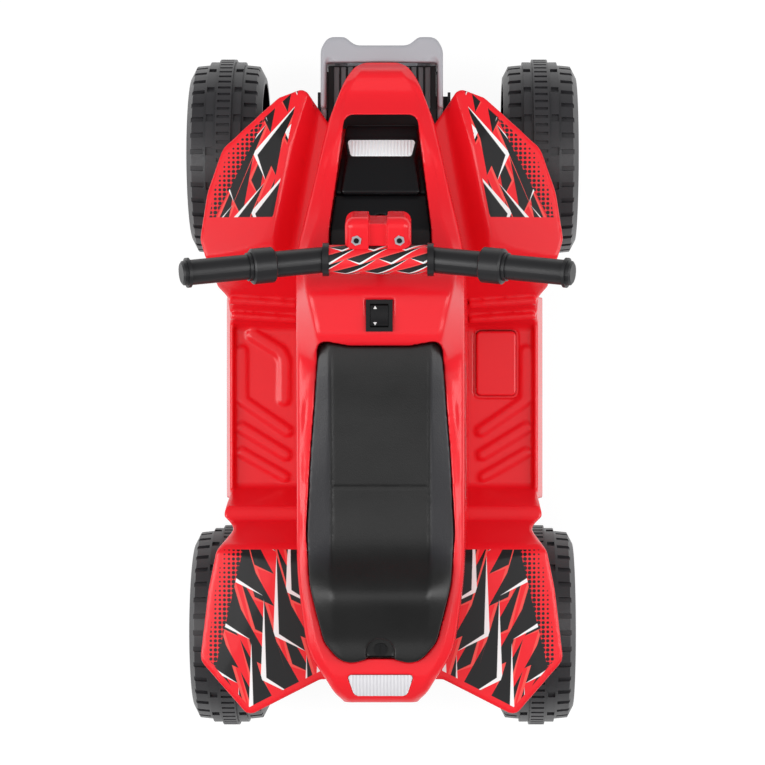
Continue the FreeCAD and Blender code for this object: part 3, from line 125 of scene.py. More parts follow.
def start_material(name):
    """New material with a Principled BSDF on its output."""
    material = bpy.data.materials.new(name)
    material.use_nodes = True
    tree = material.node_tree
    return material, tree, tree.nodes["Principled BSDF"]


def start_group(name, input_names, output_names):
    """New shader node group, with the sockets that it reads from and writes to."""
    group = bpy.data.node_groups.new(name, "ShaderNodeTree")
    for way, socket_names in (("INPUT", input_names), ("OUTPUT", output_names)):
        for socket_name in socket_names:
            group.interface.new_socket(socket_name, in_out=way, socket_type="NodeSocketFloat")
    way_in = group.nodes.new("NodeGroupInput").outputs
    way_out = group.nodes.new("NodeGroupOutput").inputs
    return group, way_in, way_out


def axes_of(tree, vector):
    """The X, Y and Z of a vector."""
    return put(tree, "ShaderNodeSeparateXYZ", Vector=vector).outputs


def object_axes(tree):
    """The X, Y and Z of a place on the bike."""
    return axes_of(tree, tree.nodes.new("ShaderNodeTexCoord").outputs["Object"])


def normal_axes(tree):
    """The X, Y and Z of the direction that the surface faces."""
    return axes_of(tree, tree.nodes.new("ShaderNodeNewGeometry").outputs["Normal"])


print("material helpers ready")

# %% [markdown]
# Moulded plastic is never quite even. The cavity leaves a fine grain, and the gloss wanders a little from
# place to place. Both come from one node group that every plastic uses with its own values: it gives a
# height for the bump, and a slow wave for roughness and colour.

# %% The grain group
# Each noise: the output it feeds, the input that scales it, and its detail.
GRAIN_NOISES = (("Height", "Fineness", 3.0), ("Wander", "Drift", 2.0))

grain_group, grain_in, grain_out = start_group("moulded_grain", ("Fineness", "Drift"), ("Height", "Wander"))
grain_place = grain_group.nodes.new("ShaderNodeTexCoord").outputs["Object"]
for output_name, scale_name, detail in GRAIN_NOISES:
    noise = put(grain_group, "ShaderNodeTexNoise", Vector=grain_place, Scale=grain_in[scale_name],
                Detail=detail)
    grain_group.links.new(noise.outputs["Fac"], grain_out[output_name])


def grain(tree, fineness, drift):
    """The grain group placed in a material; returns its Height and Wander."""
    node = put(tree, "ShaderNodeGroup", {"node_tree": grain_group}, Fineness=fineness, Drift=drift)
    return node.outputs


print("grain group sockets:", len(grain_group.interface.items_tree))

# %% [markdown]
# A plain plastic needs a range of roughness, the depth of its grain, a colour, and a second colour that it
# drifts towards. The red body is glossy, the tray and the gearbox are satin black, the bumper is silver grey.
# The first function leaves the colour open, for the plastics that carry a print.

# %% Plain plastics
WANDER_RANGE = (0.3, 0.7)


def start_plastic(name, rough, bump, fineness=900.0, drift=14.0, shine=0.5, strength=0.6):
    """Moulded plastic that still needs its colour; bump is the depth of the grain in metres."""
    material, tree, shader = start_material(name)
    shader.inputs["Specular IOR Level"].default_value = shine
    surface = grain(tree, fineness, drift)
    fill(tree, shader.inputs["Roughness"], spread(tree, surface["Wander"], *WANDER_RANGE, *rough))
    relief = put(tree, "ShaderNodeBump", Strength=strength, Distance=bump, Height=surface["Height"])
    fill(tree, shader.inputs["Normal"], relief.outputs["Normal"])
    return material, tree, shader.inputs["Base Color"], surface["Wander"]


def plastic(name, colour, drift_colour, **finish):
    """Moulded plastic in one colour that drifts towards a second one."""
    material, tree, base, wander = start_plastic(name, **finish)
    fill(tree, base, mixed(tree, wander, colour, drift_colour))
    return material


RED = (0.85, 0.012, 0.022, 1.0)
RED_DRIFT = (0.81, 0.010, 0.019, 1.0)
RED_FINISH = {"rough": (0.20, 0.27), "bump": 0.00004, "fineness": 300.0, "shine": 0.42}

red_plastic = plastic("red_plastic", RED, RED_DRIFT, **RED_FINISH)
satin_black = plastic("satin_black", (0.014, 0.013, 0.015, 1), (0.019, 0.018, 0.020, 1),
                      rough=(0.36, 0.46), bump=0.0001, shine=0.4)
tyre_black = plastic("tyre_black", (0.026, 0.025, 0.028, 1), (0.034, 0.033, 0.037, 1),
                     rough=(0.36, 0.48), bump=0.0002, shine=0.7)
panel_black = plastic("panel_black", (0.006, 0.006, 0.007, 1), (0.008, 0.008, 0.009, 1),
                      rough=(0.28, 0.36), bump=0.00005, shine=0.3)
silver_grey = plastic("silver_grey", (0.36, 0.36, 0.39, 1), (0.40, 0.40, 0.43, 1),
                      rough=(0.33, 0.42), bump=0.0001)
grille_grey = plastic("grille_grey", (0.15, 0.15, 0.16, 1), (0.19, 0.19, 0.20, 1),
                      rough=(0.33, 0.42), bump=0.0001)
nylon_white = plastic("nylon_white", (0.72, 0.71, 0.66, 1), (0.76, 0.75, 0.71, 1),
                      rough=(0.40, 0.50), bump=0.0001)
board_green = plastic("board_green", (0.02, 0.14, 0.05, 1), (0.03, 0.18, 0.06, 1),
                      rough=(0.30, 0.40), bump=0.0001)
battery_grey = plastic("battery_grey", (0.05, 0.05, 0.06, 1), (0.07, 0.07, 0.08, 1),
                       rough=(0.45, 0.55), bump=0.0001)
print_white = plastic("print_white", (0.78, 0.78, 0.78, 1), (0.72, 0.72, 0.72, 1),
                      rough=(0.40, 0.50), bump=0.00005)
print("plastics:", len(bpy.data.materials))

# %% [markdown]
# Two seams run along the seat beside the sitting surface, and one crosses it behind the middle. One mask,
# worked out from the distance to each line, gives all of them: first it paints shade into the seams in the
# material, and further on it presses them into the mesh.

# %% Where the seams run
SEAM_X = 0.0485
SEAM_Y = -0.098
SEAM_HALF = 0.0026
SEAM_FRONT_Y = 0.040
SEAM_REAR_Y = -0.185
SEAM_FADE = 0.022


def seam_mask(tree, place, seam):
    """One on the seam line, falling to zero beside it."""
    distance = sums(tree, "ABSOLUTE", sums(tree, "SUBTRACT", place, seam))
    return spread(tree, distance, 0.0, SEAM_HALF, 1.0, 0.0)


def seat_seams(tree, axes):
    """Mask of all the seams, and mask of the flanks outside them, from the axes of a place."""
    side = sums(tree, "ABSOLUTE", axes["X"])
    from_front = spread(tree, axes["Y"], SEAM_FRONT_Y, SEAM_FRONT_Y - SEAM_FADE)
    from_rear = spread(tree, axes["Y"], SEAM_REAR_Y, SEAM_REAR_Y + SEAM_FADE)
    long_part = sums(tree, "MULTIPLY", from_front, from_rear)
    long_seams = sums(tree, "MULTIPLY", seam_mask(tree, side, SEAM_X), long_part)
    cross_part = sums(tree, "LESS_THAN", side, SEAM_X)
    cross_seam = sums(tree, "MULTIPLY", seam_mask(tree, axes["Y"], SEAM_Y), cross_part)
    flanks = sums(tree, "MULTIPLY", sums(tree, "GREATER_THAN", side, SEAM_X), long_part)
    return sums(tree, "MAXIMUM", long_seams, cross_seam), flanks


print("seat seams at", SEAM_X, SEAM_Y)

# %% [markdown]
# The seat is one satin black moulding with a leather-like grain. The flanks outside the seams are painted a
# little paler than the sitting surface as a painted sheen, and the seams are painted darker as painted shade.

# %% Seat plastic with seams
# Colour of the painted shade in the seams.
SEAM_SHADE = (0.003, 0.003, 0.003, 1)

seat_black, seat_tree, seat_base, seat_wander = start_plastic(
    "seat_black", rough=(0.34, 0.44), bump=0.0003, fineness=700.0, drift=22.0, shine=0.6, strength=0.5)
seam_lines, seat_flanks = seat_seams(seat_tree, object_axes(seat_tree))
middle_colour = mixed(seat_tree, seat_wander, (0.005, 0.005, 0.005, 1), (0.009, 0.009, 0.009, 1))
# Paler flanks: a painted sheen on the side slopes of the seat.
flank_sheen_colour = mixed(seat_tree, seat_wander, (0.016, 0.016, 0.019, 1), (0.022, 0.022, 0.026, 1))
seat_colour = mixed(seat_tree, seat_flanks, middle_colour, flank_sheen_colour)
fill(seat_tree, seat_base, mixed(seat_tree, seam_lines, seat_colour, SEAM_SHADE))
print("seat material nodes:", len(seat_tree.nodes))

# %% [markdown]
# Screws, axles and the steering column are zinc-plated steel: metallic, a little blotchy, never mirror
# bright. The slow wave of the grain group gives the blotches.

# %% Plated steel
plated_steel, steel_tree, steel_shader = start_material("plated_steel")
steel_shader.inputs["Metallic"].default_value = 1.0
steel_wander = grain(steel_tree, fineness=700.0, drift=40.0)["Wander"]
steel_colour = mixed(steel_tree, steel_wander, (0.50, 0.50, 0.51, 1), (0.63, 0.63, 0.62, 1))
steel_rough = spread(steel_tree, steel_wander, *WANDER_RANGE, 0.26, 0.42)
fill(steel_tree, steel_shader.inputs["Base Color"], steel_colour)
fill(steel_tree, steel_shader.inputs["Roughness"], steel_rough)
print("material:", plated_steel.name)

# %% [markdown]
# The lamp lenses are clear plastic with fine ribs that run fore and aft over a bright back, so from above
# they look pale with thin grey lines. A wave across X paints the shade of the ribs into the colour and gives
# a little relief, and the ridges themselves follow further on. The front lens lies deep in the hood: a weak
# painted glow, and paler, bluer colours than the tail lens, lift it out of the shade and red bounce light
# there.

# %% Fluted lens
FLUTE_PITCH = 0.0034
LENS_ROUGH = (0.10, 0.2)
LENS_CLEARNESS = 0.06
LENS_IOR = 1.49


def fluted_lens(name, groove_shade, crest, painted_glow):
    """Clear plastic with ribs along Y, with painted shade in the grooves and a painted glow of the crest
    colour.
    """
    material, tree, shader = start_material(name)
    flute = sums(tree, "PINGPONG", object_axes(tree)["X"], FLUTE_PITCH / 2)
    share = spread(tree, flute, 0.0, FLUTE_PITCH / 2)
    fill(tree, shader.inputs["Base Color"], mixed(tree, share, groove_shade, crest))
    fill(tree, shader.inputs["Roughness"], spread(tree, share, 0.0, 1.0, *LENS_ROUGH))
    relief = put(tree, "ShaderNodeBump", Strength=0.4, Distance=0.0006, Height=share)
    fill(tree, shader.inputs["Normal"], relief.outputs["Normal"])
    # A painted glow, not a lamp.
    shader.inputs["Emission Color"].default_value = crest
    shader.inputs["Emission Strength"].default_value = painted_glow
    shader.inputs["Transmission Weight"].default_value = LENS_CLEARNESS
    shader.inputs["IOR"].default_value = LENS_IOR
    return material


# The head lens is painted paler and bluer than the tail lens and glows, against the shade and red bounce
# light in the hood; the tail lens is painted darker because it stands in more light.
head_lens = fluted_lens("head_lens", (0.88, 0.93, 0.97, 1), (0.96, 1.0, 1.0, 1), painted_glow=0.14)
tail_lens = fluted_lens("tail_lens", (0.66, 0.65, 0.68, 1), (0.84, 0.83, 0.86, 1), painted_glow=0.0)
print("flutes every", FLUTE_PITCH * 1000, "mm")

# %% [markdown]
# The fenders carry printed stickers of swept wedges and fading dots in black, white and a paler red. A
# sticker has no thickness worth modelling, so it is drawn in the material. The first group draws the wedges
# from a place along and across the stripes: each stripe grows to a peak and thins out again, with a white
# line beside the black, and the stripes are staggered.

# %% The wedge group
WEDGE_PEAK = 0.24
WEDGE_STAGGER = 0.37
WEDGE_FULL = 0.86
WEDGE_START = -0.03
WHITE_SHARE = 0.28
PALE_FROM = 0.88
WEDGE_EDGE = 0.02

wedge_group, wedge_in, wedge_out = start_group(
    "swept_wedges", ("Along", "Across", "Pitch", "Reach"), ("Black", "White", "Pale"))


def wedge_sum(operation, *values):
    """One Math node in the wedge group."""
    return sums(wedge_group, operation, *values)


stripe_place = wedge_sum("DIVIDE", wedge_in["Across"], wedge_in["Pitch"])
stripe_share = wedge_sum("FRACT", stripe_place)
run = wedge_sum("DIVIDE", wedge_in["Along"], wedge_in["Reach"])
stagger = wedge_sum("MULTIPLY", wedge_sum("FLOOR", stripe_place), WEDGE_STAGGER)
run_share = wedge_sum("FRACT", wedge_sum("ADD", stagger, run))
rising = wedge_sum("DIVIDE", run_share, WEDGE_PEAK)
falling = wedge_sum("DIVIDE", wedge_sum("SUBTRACT", 1.0, run_share), 1.0 - WEDGE_PEAK)
thickness = wedge_sum("MULTIPLY_ADD", wedge_sum("MINIMUM", rising, falling), WEDGE_FULL, WEDGE_START)
white_reach = wedge_sum("MULTIPLY_ADD", thickness, WHITE_SHARE, thickness)
wedge_depths = {
    "Black": wedge_sum("SUBTRACT", thickness, stripe_share),
    "White": wedge_sum("SUBTRACT", white_reach, stripe_share),
    "Pale": wedge_sum("SUBTRACT", stripe_share, PALE_FROM),
}
for mask_name, depth in wedge_depths.items():
    wedge_group.links.new(spread(wedge_group, depth, 0.0, WEDGE_EDGE), wedge_out[mask_name])
print("wedge group nodes:", len(wedge_group.nodes))

# %% [markdown]
# The second group draws a square grid of round dots. Their size is an input, so that they can fade out.

# %% The dot group
DOT_EDGE = 0.08

dot_group, dot_in, dot_out = start_group("fading_dots", ("X", "Y", "Pitch", "Size"), ("Dots",))
dot_offsets = []
for axis_name in ("X", "Y"):
    cell = sums(dot_group, "FRACT", sums(dot_group, "DIVIDE", dot_in[axis_name], dot_in["Pitch"]))
    dot_offsets.append(sums(dot_group, "POWER", sums(dot_group, "SUBTRACT", cell, 0.5), 2.0))
dot_distance = sums(dot_group, "SQRT", sums(dot_group, "ADD", *dot_offsets))
dot_depth = sums(dot_group, "SUBTRACT", dot_in["Size"], dot_distance)
dot_group.links.new(spread(dot_group, dot_depth, 0.0, DOT_EDGE), dot_out["Dots"])
print("dot group nodes:", len(dot_group.nodes))

# %% [markdown]
# A sticker fills a zone with straight edges. Each edge is a line given by two points, and the zone lies to
# its left; the smallest distance of all lines tells how far a place is inside.

# %% Sticker zones
ZONE_EDGE = 0.0004


def line_side(tree, x, y, start, end):
    """Distance to the left of the line from start to end."""
    way = (Vector(end) - Vector(start)).normalized()
    offset = way.y * start[0] - way.x * start[1]
    return sums(tree, "MULTIPLY_ADD", x, -way.y, sums(tree, "MULTIPLY_ADD", y, way.x, offset))


def inside_zone(tree, x, y, lines):
    """One inside all the lines of a zone, zero outside."""
    depth = None
    for start, end in lines:
        side = line_side(tree, x, y, start, end)
        depth = side if depth is None else sums(tree, "MINIMUM", depth, side)
    return spread(tree, depth, 0.0, ZONE_EDGE)


print("zone edge:", ZONE_EDGE)

# %% [markdown]
# Two helpers print the wedges. One turns a place into distances along and across the stripes and asks the
# wedge group for its masks, and one lays inks over a colour, one after the other.

# %% Wedges and inks
STICKER_BLACK = (0.012, 0.012, 0.013, 1.0)
STICKER_WHITE = (0.86, 0.86, 0.86, 1.0)
STICKER_PALE = (0.86, 0.075, 0.065, 1.0)


def wedges(tree, x, y, along, pitch, reach):
    """Black, White and Pale masks of the wedge group; along is the direction of the stripes."""
    way = Vector(along).normalized()
    length = sums(tree, "MULTIPLY_ADD", x, way.x, sums(tree, "MULTIPLY", y, way.y))
    width = sums(tree, "MULTIPLY_ADD", x, way.y, sums(tree, "MULTIPLY", y, -way.x))
    node = put(tree, "ShaderNodeGroup", {"node_tree": wedge_group}, Along=length, Across=width, Pitch=pitch,
               Reach=reach)
    return node.outputs


def inked(tree, colour, layers):
    """Colour under layers of ink, each with its mask."""
    for mask, ink in layers:
        colour = mixed(tree, mask, colour, ink)
    return colour


print("inks:", STICKER_BLACK, STICKER_WHITE, STICKER_PALE)

# %% [markdown]
# A sticker lays its inks over each other: pale red, then fine wedges at a slight angle, then bold white and
# black wedges. On one side of a line there are only black dots, which fade away from it.

# %% One sticker
FINE_TURN = 0.22
FINE_PITCH = 0.62
FINE_REACH = 0.74
DOT_PITCH = 0.0046
DOT_LARGEST = 0.52
DOT_FADE = 0.030


def sticker(tree, colour, x, y, facing, zone, along, pitch, reach, dot_line):
    """Colour with one printed zone on it, where the surface faces the right way."""
    bold = wedges(tree, x, y, along, pitch, reach)
    fine_along = (along[0] + FINE_TURN * along[1], along[1] - FINE_TURN * along[0])
    fine = wedges(tree, x, y, fine_along, FINE_PITCH * pitch, FINE_REACH * reach)
    layers = ((bold["Pale"], STICKER_PALE), (fine["White"], STICKER_PALE), (fine["Black"], STICKER_BLACK),
              (bold["White"], STICKER_WHITE), (bold["Black"], STICKER_BLACK))
    past_line = line_side(tree, x, y, *dot_line)
    dot_size = spread(tree, past_line, 0.0, DOT_FADE, DOT_LARGEST, 0.0)
    dots = put(tree, "ShaderNodeGroup", {"node_tree": dot_group}, X=x, Y=y, Pitch=DOT_PITCH, Size=dot_size)
    dotted = mixed(tree, dots.outputs["Dots"], colour, STICKER_BLACK)
    dot_side = spread(tree, past_line, 0.0, -ZONE_EDGE, 1.0, 0.0)
    print_colour = mixed(tree, dot_side, inked(tree, colour, layers), dotted)
    inside = sums(tree, "MULTIPLY", inside_zone(tree, x, y, zone), facing)
    return mixed(tree, inside, colour, print_colour)


print("sticker groups:", wedge_group.name, dot_group.name)

# %% [markdown]
# The lower body is red with one sticker on each fender. The left and right stickers mirror each other, so
# the zones are measured on the distance from the centre line. Only faces that look up are printed.

# %% Red plastic with fender stickers
FACING_UP = 0.55
FENDER_STICKERS = (
    {
        "zone": (((0.1012, 0.172), (0.1960, 0.172)), ((0.1775, 0.150), (0.1700, 0.198)),
                 ((0.1700, 0.198), (0.1545, 0.2395)), ((0.1545, 0.2395), (0.0985, 0.2905)),
                 ((0.0860, 0.290), (0.1090, 0.172))),
        "along": (-0.42, 1.0), "pitch": 0.021, "reach": 0.088,
        "dot_line": ((0.117, 0.272), (0.168, 0.172)),
    },
    {
        "zone": (((0.1950, -0.163), (0.0600, -0.163)), ((0.0600, -0.2850), (0.1335, -0.3225)),
                 ((0.1335, -0.3225), (0.1765, -0.2725)), ((0.1765, -0.2725), (0.1680, -0.2030)),
                 ((0.1680, -0.2030), (0.1600, -0.163))),
        "along": (0.30, 1.0), "pitch": 0.025, "reach": 0.105,
        "dot_line": ((0.140, -0.163), (0.172, -0.300)),
    },
)

fender_red, fender_tree, fender_base, fender_wander = start_plastic("fender_red", **RED_FINISH)
fender_axes = object_axes(fender_tree)
fender_x = sums(fender_tree, "ABSOLUTE", fender_axes["X"])
fender_up = sums(fender_tree, "GREATER_THAN", normal_axes(fender_tree)["Z"], FACING_UP)
fender_colour = mixed(fender_tree, fender_wander, RED, RED_DRIFT)
for fender_sticker in FENDER_STICKERS:
    fender_colour = sticker(fender_tree, fender_colour, fender_x, fender_axes["Y"], fender_up,
                            **fender_sticker)
fill(fender_tree, fender_base, fender_colour)
print("fender material nodes:", len(fender_tree.nodes))

# %% [markdown]
# The centre cowl has a long sticker on each flank between the tank and the rear wheel. It uses the sticker
# tools with other axes, along Y and up Z. Only the outer faces are printed: there the normal points away
# from the centre line, so X times the normal's X is well above zero.

# %% Red cowl with flank stickers
FACING_OUT = 0.03
FLANK_STICKER = {
    "zone": (((-0.105, 0.200), (0.035, 0.216)), ((0.035, 0.216), (0.020, 0.262)),
             ((0.020, 0.262), (-0.105, 0.252)), ((-0.105, 0.252), (-0.125, 0.226)),
             ((-0.125, 0.226), (-0.105, 0.200))),
    "along": (1.0, 0.16), "pitch": 0.017, "reach": 0.085,
    "dot_line": ((0.035, 0.206), (-0.125, 0.194)),
}

cowl_red, cowl_tree, cowl_base, cowl_wander = start_plastic("cowl_red", **RED_FINISH)
cowl_axes = object_axes(cowl_tree)
outwardness = sums(cowl_tree, "MULTIPLY", cowl_axes["X"], normal_axes(cowl_tree)["X"])
cowl_out = sums(cowl_tree, "GREATER_THAN", outwardness, FACING_OUT)
cowl_colour = mixed(cowl_tree, cowl_wander, RED, RED_DRIFT)
cowl_colour = sticker(cowl_tree, cowl_colour, cowl_axes["Y"], cowl_axes["Z"], cowl_out, **FLANK_STICKER)
fill(cowl_tree, cowl_base, cowl_colour)
print("cowl material nodes:", len(cowl_tree.nodes))

# %% [markdown]
# The middle of the handlebar is wrapped in a print of smaller wedges. They run along X and round the bar, so
# the second measure is the angle about the bar's axis times its radius.

# %% Black bar with a printed wrap
WRAP_HALF = 0.0468
BAR_Y = 0.123
BAR_Z = 0.385
BAR_RADIUS = 0.014

bar_black, bar_tree, bar_base, bar_wander = start_plastic("bar_black", rough=(0.36, 0.46), bump=0.0001)
bar_axes = object_axes(bar_tree)
bar_angle = sums(bar_tree, "ARCTAN2", sums(bar_tree, "SUBTRACT", bar_axes["Y"], BAR_Y),
                 sums(bar_tree, "SUBTRACT", bar_axes["Z"], BAR_Z))
bar_round = sums(bar_tree, "MULTIPLY", bar_angle, BAR_RADIUS)
wrap = wedges(bar_tree, bar_axes["X"], bar_round, along=(1.0, 0.32), pitch=0.0088, reach=0.046)
wrap_colour = inked(bar_tree, RED, ((wrap["Pale"], STICKER_PALE), (wrap["White"], STICKER_WHITE),
                                    (wrap["Black"], STICKER_BLACK)))
bar_colour = mixed(bar_tree, bar_wander, (0.012, 0.012, 0.013, 1), (0.017, 0.017, 0.019, 1))
in_wrap = sums(bar_tree, "LESS_THAN", sums(bar_tree, "ABSOLUTE", bar_axes["X"]), WRAP_HALF)
fill(bar_tree, bar_base, mixed(bar_tree, in_wrap, bar_colour, wrap_colour))
print("bar material nodes:", len(bar_tree.nodes))

# %% [markdown]
# Now every solid gets its finish. A table of words keeps this short: the first word that is part of the
# node's name decides, and whatever is left is plated steel.

# %% Finishes for all nodes
FINISHES = (
    ("lower_body", fender_red), ("centre_cowl", cowl_red), ("handlebar_pod", red_plastic),
    ("foot_pedal", red_plastic), ("headlight_lens", head_lens), ("tail_light_lens", tail_lens),
    ("board", board_green), ("bumper_screws", plated_steel), ("bumper", silver_grey),
    ("hub_cap", silver_grey), ("seat_screw", panel_black), ("seat", seat_black),
    ("wheel_bush", nylon_white), ("output_gear", nylon_white), ("reduction_gear", nylon_white),
    ("motor_pinion", nylon_white), ("column_bush", nylon_white), ("wheel", tyre_black),
    ("headlight_housing", panel_black), ("column_shroud", panel_black), ("rocker", panel_black),
    ("switch_bezel", panel_black), ("handlebar_bolt", plated_steel), ("handlebar", bar_black),
    ("strap", plated_steel), ("battery", battery_grey), ("charging_socket", satin_black),
    ("gearbox", satin_black), ("pedal_box", red_plastic), ("pedal_switch", satin_black),
    ("chassis_tray", satin_black),
)

for node_name, node in nodes.items():
    finish = next((material for word, material in FINISHES if word in node_name), plated_steel)
    node.data.materials.clear()
    node.data.materials.append(finish)
print("finished nodes:", len(nodes))

# %% [markdown]
# Some changes of shape are made by geometry nodes, because a modifier leaves the CAD mesh as it is. One pair
# of helpers makes a group that moves chosen points up or down.

# %% Moving points with a modifier


def start_shift(name):
    """Geometry group with a way in and out, and the axes of each point's place and normal."""
    group = bpy.data.node_groups.new(name, "GeometryNodeTree")
    for way in ("INPUT", "OUTPUT"):
        group.interface.new_socket("Geometry", in_out=way, socket_type="NodeSocketGeometry")
    place = axes_of(group, group.nodes.new("GeometryNodeInputPosition").outputs["Position"])
    facing = axes_of(group, group.nodes.new("GeometryNodeInputNormal").outputs["Normal"])
    return group, place, facing


def shift_points(node, group, chosen, rise):
    """Let the group move the chosen points up by rise, and give it to a node as a modifier."""
    start = group.nodes.new("NodeGroupInput").outputs["Geometry"]
    end = group.nodes.new("NodeGroupOutput").inputs["Geometry"]
    way = put(group, "ShaderNodeCombineXYZ", Z=rise).outputs["Vector"]
    moved = put(group, "GeometryNodeSetPosition", Geometry=start, Selection=chosen, Offset=way)
    group.links.new(moved.outputs["Geometry"], end)
    node.modifiers.new(group.name, "NODES").node_group = group


print("shift helpers ready")

# %% [markdown]
# Two shells use these helpers: the cowl has the hidden side of a thin wall lowered, and the seat has its
# seams pressed in. The direction that a point faces tells the upper side of a wall from the lower one.

# %% Thicker wall and pressed seams
FACING_DOWN = -0.4
SEAM_FACING = 0.4


def thicken_under(node, depth, rear_y):
    """Move a wall's hidden underside down, in front of rear_y."""
    group, place, facing = start_shift("thicken_under")
    under = sums(group, "LESS_THAN", facing["Z"], FACING_DOWN)
    ahead = sums(group, "GREATER_THAN", place["Y"], rear_y)
    shift_points(node, group, sums(group, "MULTIPLY", under, ahead), -depth)


def press_seams(node, depth):
    """Press the seams into the upper side of the seat."""
    group, place, facing = start_shift("press_seams")
    lines = seat_seams(group, place)[0]
    upper = sums(group, "GREATER_THAN", facing["Z"], SEAM_FACING)
    shift_points(node, group, upper, sums(group, "MULTIPLY", lines, -depth))


print("seam mask half width:", SEAM_HALF)

# %% [markdown]
# A moulded shell has no sharp edges. The CAD solids do, so the big shells are welded, remeshed on a fine
# grid and smoothed: every corner becomes a small round that catches the light, and the walls keep their
# place. The hood is thinner than its grid in places, so its wall is thickened from below before the grid is
# laid.

# %% Soft moulded edges
WELD_REACH = 0.00002
SMOOTH_SHARE = 0.5
HOOD_DEPTH = 0.0014
HOOD_REAR_Y = 0.15
SEAM_DEPTH = 0.0006
# Each shell: its node, the size of its grid, the rounds of smoothing, and the share of faces it keeps.
SHELLS = (
    ("lower_body", 0.0018, 4, 0.42), ("centre_cowl", 0.0012, 5, 0.33), ("seat", 0.0012, 5, 0.8),
    ("handlebar_pod", 0.0009, 3, 1.0), ("front_bumper", 0.0012, 12, 1.0),
    ("headlight_housing", 0.0012, 2, 1.0), ("column_shroud", 0.0012, 2, 1.0), ("foot_pedal", 0.0008, 2, 1.0),
)


def weld(node):
    """Join the faces of a node, which come from the frame as separate patches."""
    joined = node.modifiers.new("weld", "WELD")
    joined.merge_threshold = WELD_REACH


def soften(node, grid, rounds, keep):
    """Round all the edges of one shell, and keep only a share of its faces."""
    remesh = node.modifiers.new("grid", "REMESH")
    remesh.mode = "VOXEL"
    remesh.voxel_size = grid
    remesh.use_smooth_shade = True
    smooth = node.modifiers.new("smooth", "SMOOTH")
    smooth.factor = SMOOTH_SHARE
    smooth.iterations = rounds
    if keep < 1.0:
        thin = node.modifiers.new("thin", "DECIMATE")
        thin.ratio = keep


for shell_name, *_ in SHELLS:
    weld(nodes[shell_name])
thicken_under(nodes["centre_cowl"], HOOD_DEPTH, HOOD_REAR_Y)
for shell_name, grid, rounds, keep in SHELLS:
    soften(nodes[shell_name], grid, rounds, keep)
press_seams(nodes["seat"], SEAM_DEPTH)
print("softened:", [name for name, node in nodes.items() if node.modifiers])

# %% [markdown]
# Small trim is modelled with bmesh. One helper turns a finished bmesh into a piece that rides on a body, and
# one makes a closed bar through a row of sections, for the pieces that follow a surface.

# %% Helpers for new pieces
DOWN = Vector((0, 0, -1))
UP = Vector((0, 0, 1))
RAY_START = 0.01


def piece_from(name, shape, material, body):
    """Object made from a finished bmesh, riding on a body."""
    bmesh.ops.recalc_face_normals(shape, faces=shape.faces)
    mesh = bpy.data.meshes.new(name)
    shape.to_mesh(mesh)
    shape.free()
    mesh.materials.append(material)
    piece = bpy.data.objects.new(name, mesh)
    scene.collection.objects.link(piece)
    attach(piece, body)
    return piece


def add_bar(shape, sections):
    """Closed bar through sections that all have the same number of points."""
    rings = [[shape.verts.new(point) for point in section] for section in sections]
    count = len(rings[0])
    for first, second in zip(rings, rings[1:]):
        for place in range(count):
            after = (place + 1) % count
            shape.faces.new((first[place], first[after], second[after], second[place]))
    shape.faces.new(rings[0])
    shape.faces.new(rings[-1])


print("piece helpers ready")

# %% [markdown]
# A forward and a backward arrow are printed on the rocker, and two fixing plates with a screw each sit on top
# of the handlebar pod. All are thin discs, and the arrows are discs with three sides. A ray cast from above
# finds the surface, so each disc lies on it whatever its slope.

# %% Arrows and fixing plates
LIFT = 0.0001
DISC_TAPER = 0.96
ROCKER_MIDDLE = 0.0705
ARROW_X = -0.004
ARROW_OFFSET = 0.0075
ARROW = {"sides": 3, "radius": 0.0021, "thick": 0.0002}
ARROWS = (("forward_arrow", 1, 0.0), ("back_arrow", -1, math.pi))
PLATE_X = 0.0205
PLATE_Y = 0.1405
PLATE_TURN = 0.2
PLATE = {"sides": 6, "radius": 0.0052, "thick": 0.0010}
SCREW = {"sides": 20, "radius": 0.0026, "thick": 0.0009}
SIDES = (("left", -1), ("right", 1))


def surface_below(node_name, x, y):
    """Matrix that stands a piece on the highest point of a node at x, y, with Z along the normal."""
    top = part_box(node_name)[1][2] + RAY_START
    hit, spot, normal, _ = nodes[node_name].ray_cast(Vector((x, y, top)), DOWN)
    if not hit:
        raise ValueError(f"no surface of {node_name} at {x}, {y}")
    return Matrix.Translation(spot) @ UP.rotation_difference(normal).to_matrix().to_4x4()


def disc_piece(name, body, material, stand, turn, sides, radius, thick):
    """Flat regular polygon of some thickness, turned about its middle and standing on a surface."""
    shape = bmesh.new()
    bmesh.ops.create_cone(shape, cap_ends=True, segments=sides, radius1=radius, radius2=radius * DISC_TAPER,
                          depth=thick)
    bmesh.ops.rotate(shape, matrix=Matrix.Rotation(turn, 3, "Z"), verts=shape.verts)
    bmesh.ops.translate(shape, vec=(0, 0, thick / 2 + LIFT), verts=shape.verts)
    bmesh.ops.transform(shape, matrix=stand, verts=shape.verts)
    return piece_from(name, shape, material, body)


for arrow_name, sign, turn in ARROWS:
    arrow_stand = surface_below("rocker", ARROW_X, ROCKER_MIDDLE + sign * ARROW_OFFSET)
    disc_piece(arrow_name, "rocker", print_white, arrow_stand, turn, **ARROW)
for side, sign in SIDES:
    plate_stand = surface_below("handlebar_pod", sign * PLATE_X, PLATE_Y)
    disc_piece(f"{side}_fixing_plate", "steering", silver_grey, plate_stand, sign * PLATE_TURN, **PLATE)
    screw_stand = plate_stand @ Matrix.Translation((0, 0, PLATE["thick"]))
    disc_piece(f"{side}_fixing_screw", "steering", panel_black, screw_stand, 0.0, **SCREW)
print("trim pieces on rocker and pod")

# %% [markdown]
# The ribs of the lenses are real: a low ridge for each flute, laid on the lens by rays cast from above. A
# ridge is left out where the lens turns down at its rim. The ridges of one lens make one piece.

# %% Ribs on the lenses
RIDGE_HEIGHT = 0.0005
RIDGE_SHARE = 0.72
RIDGE_STEPS = 8
RIDGE_MARGIN = 0.06
RIDGE_FACING = 0.5


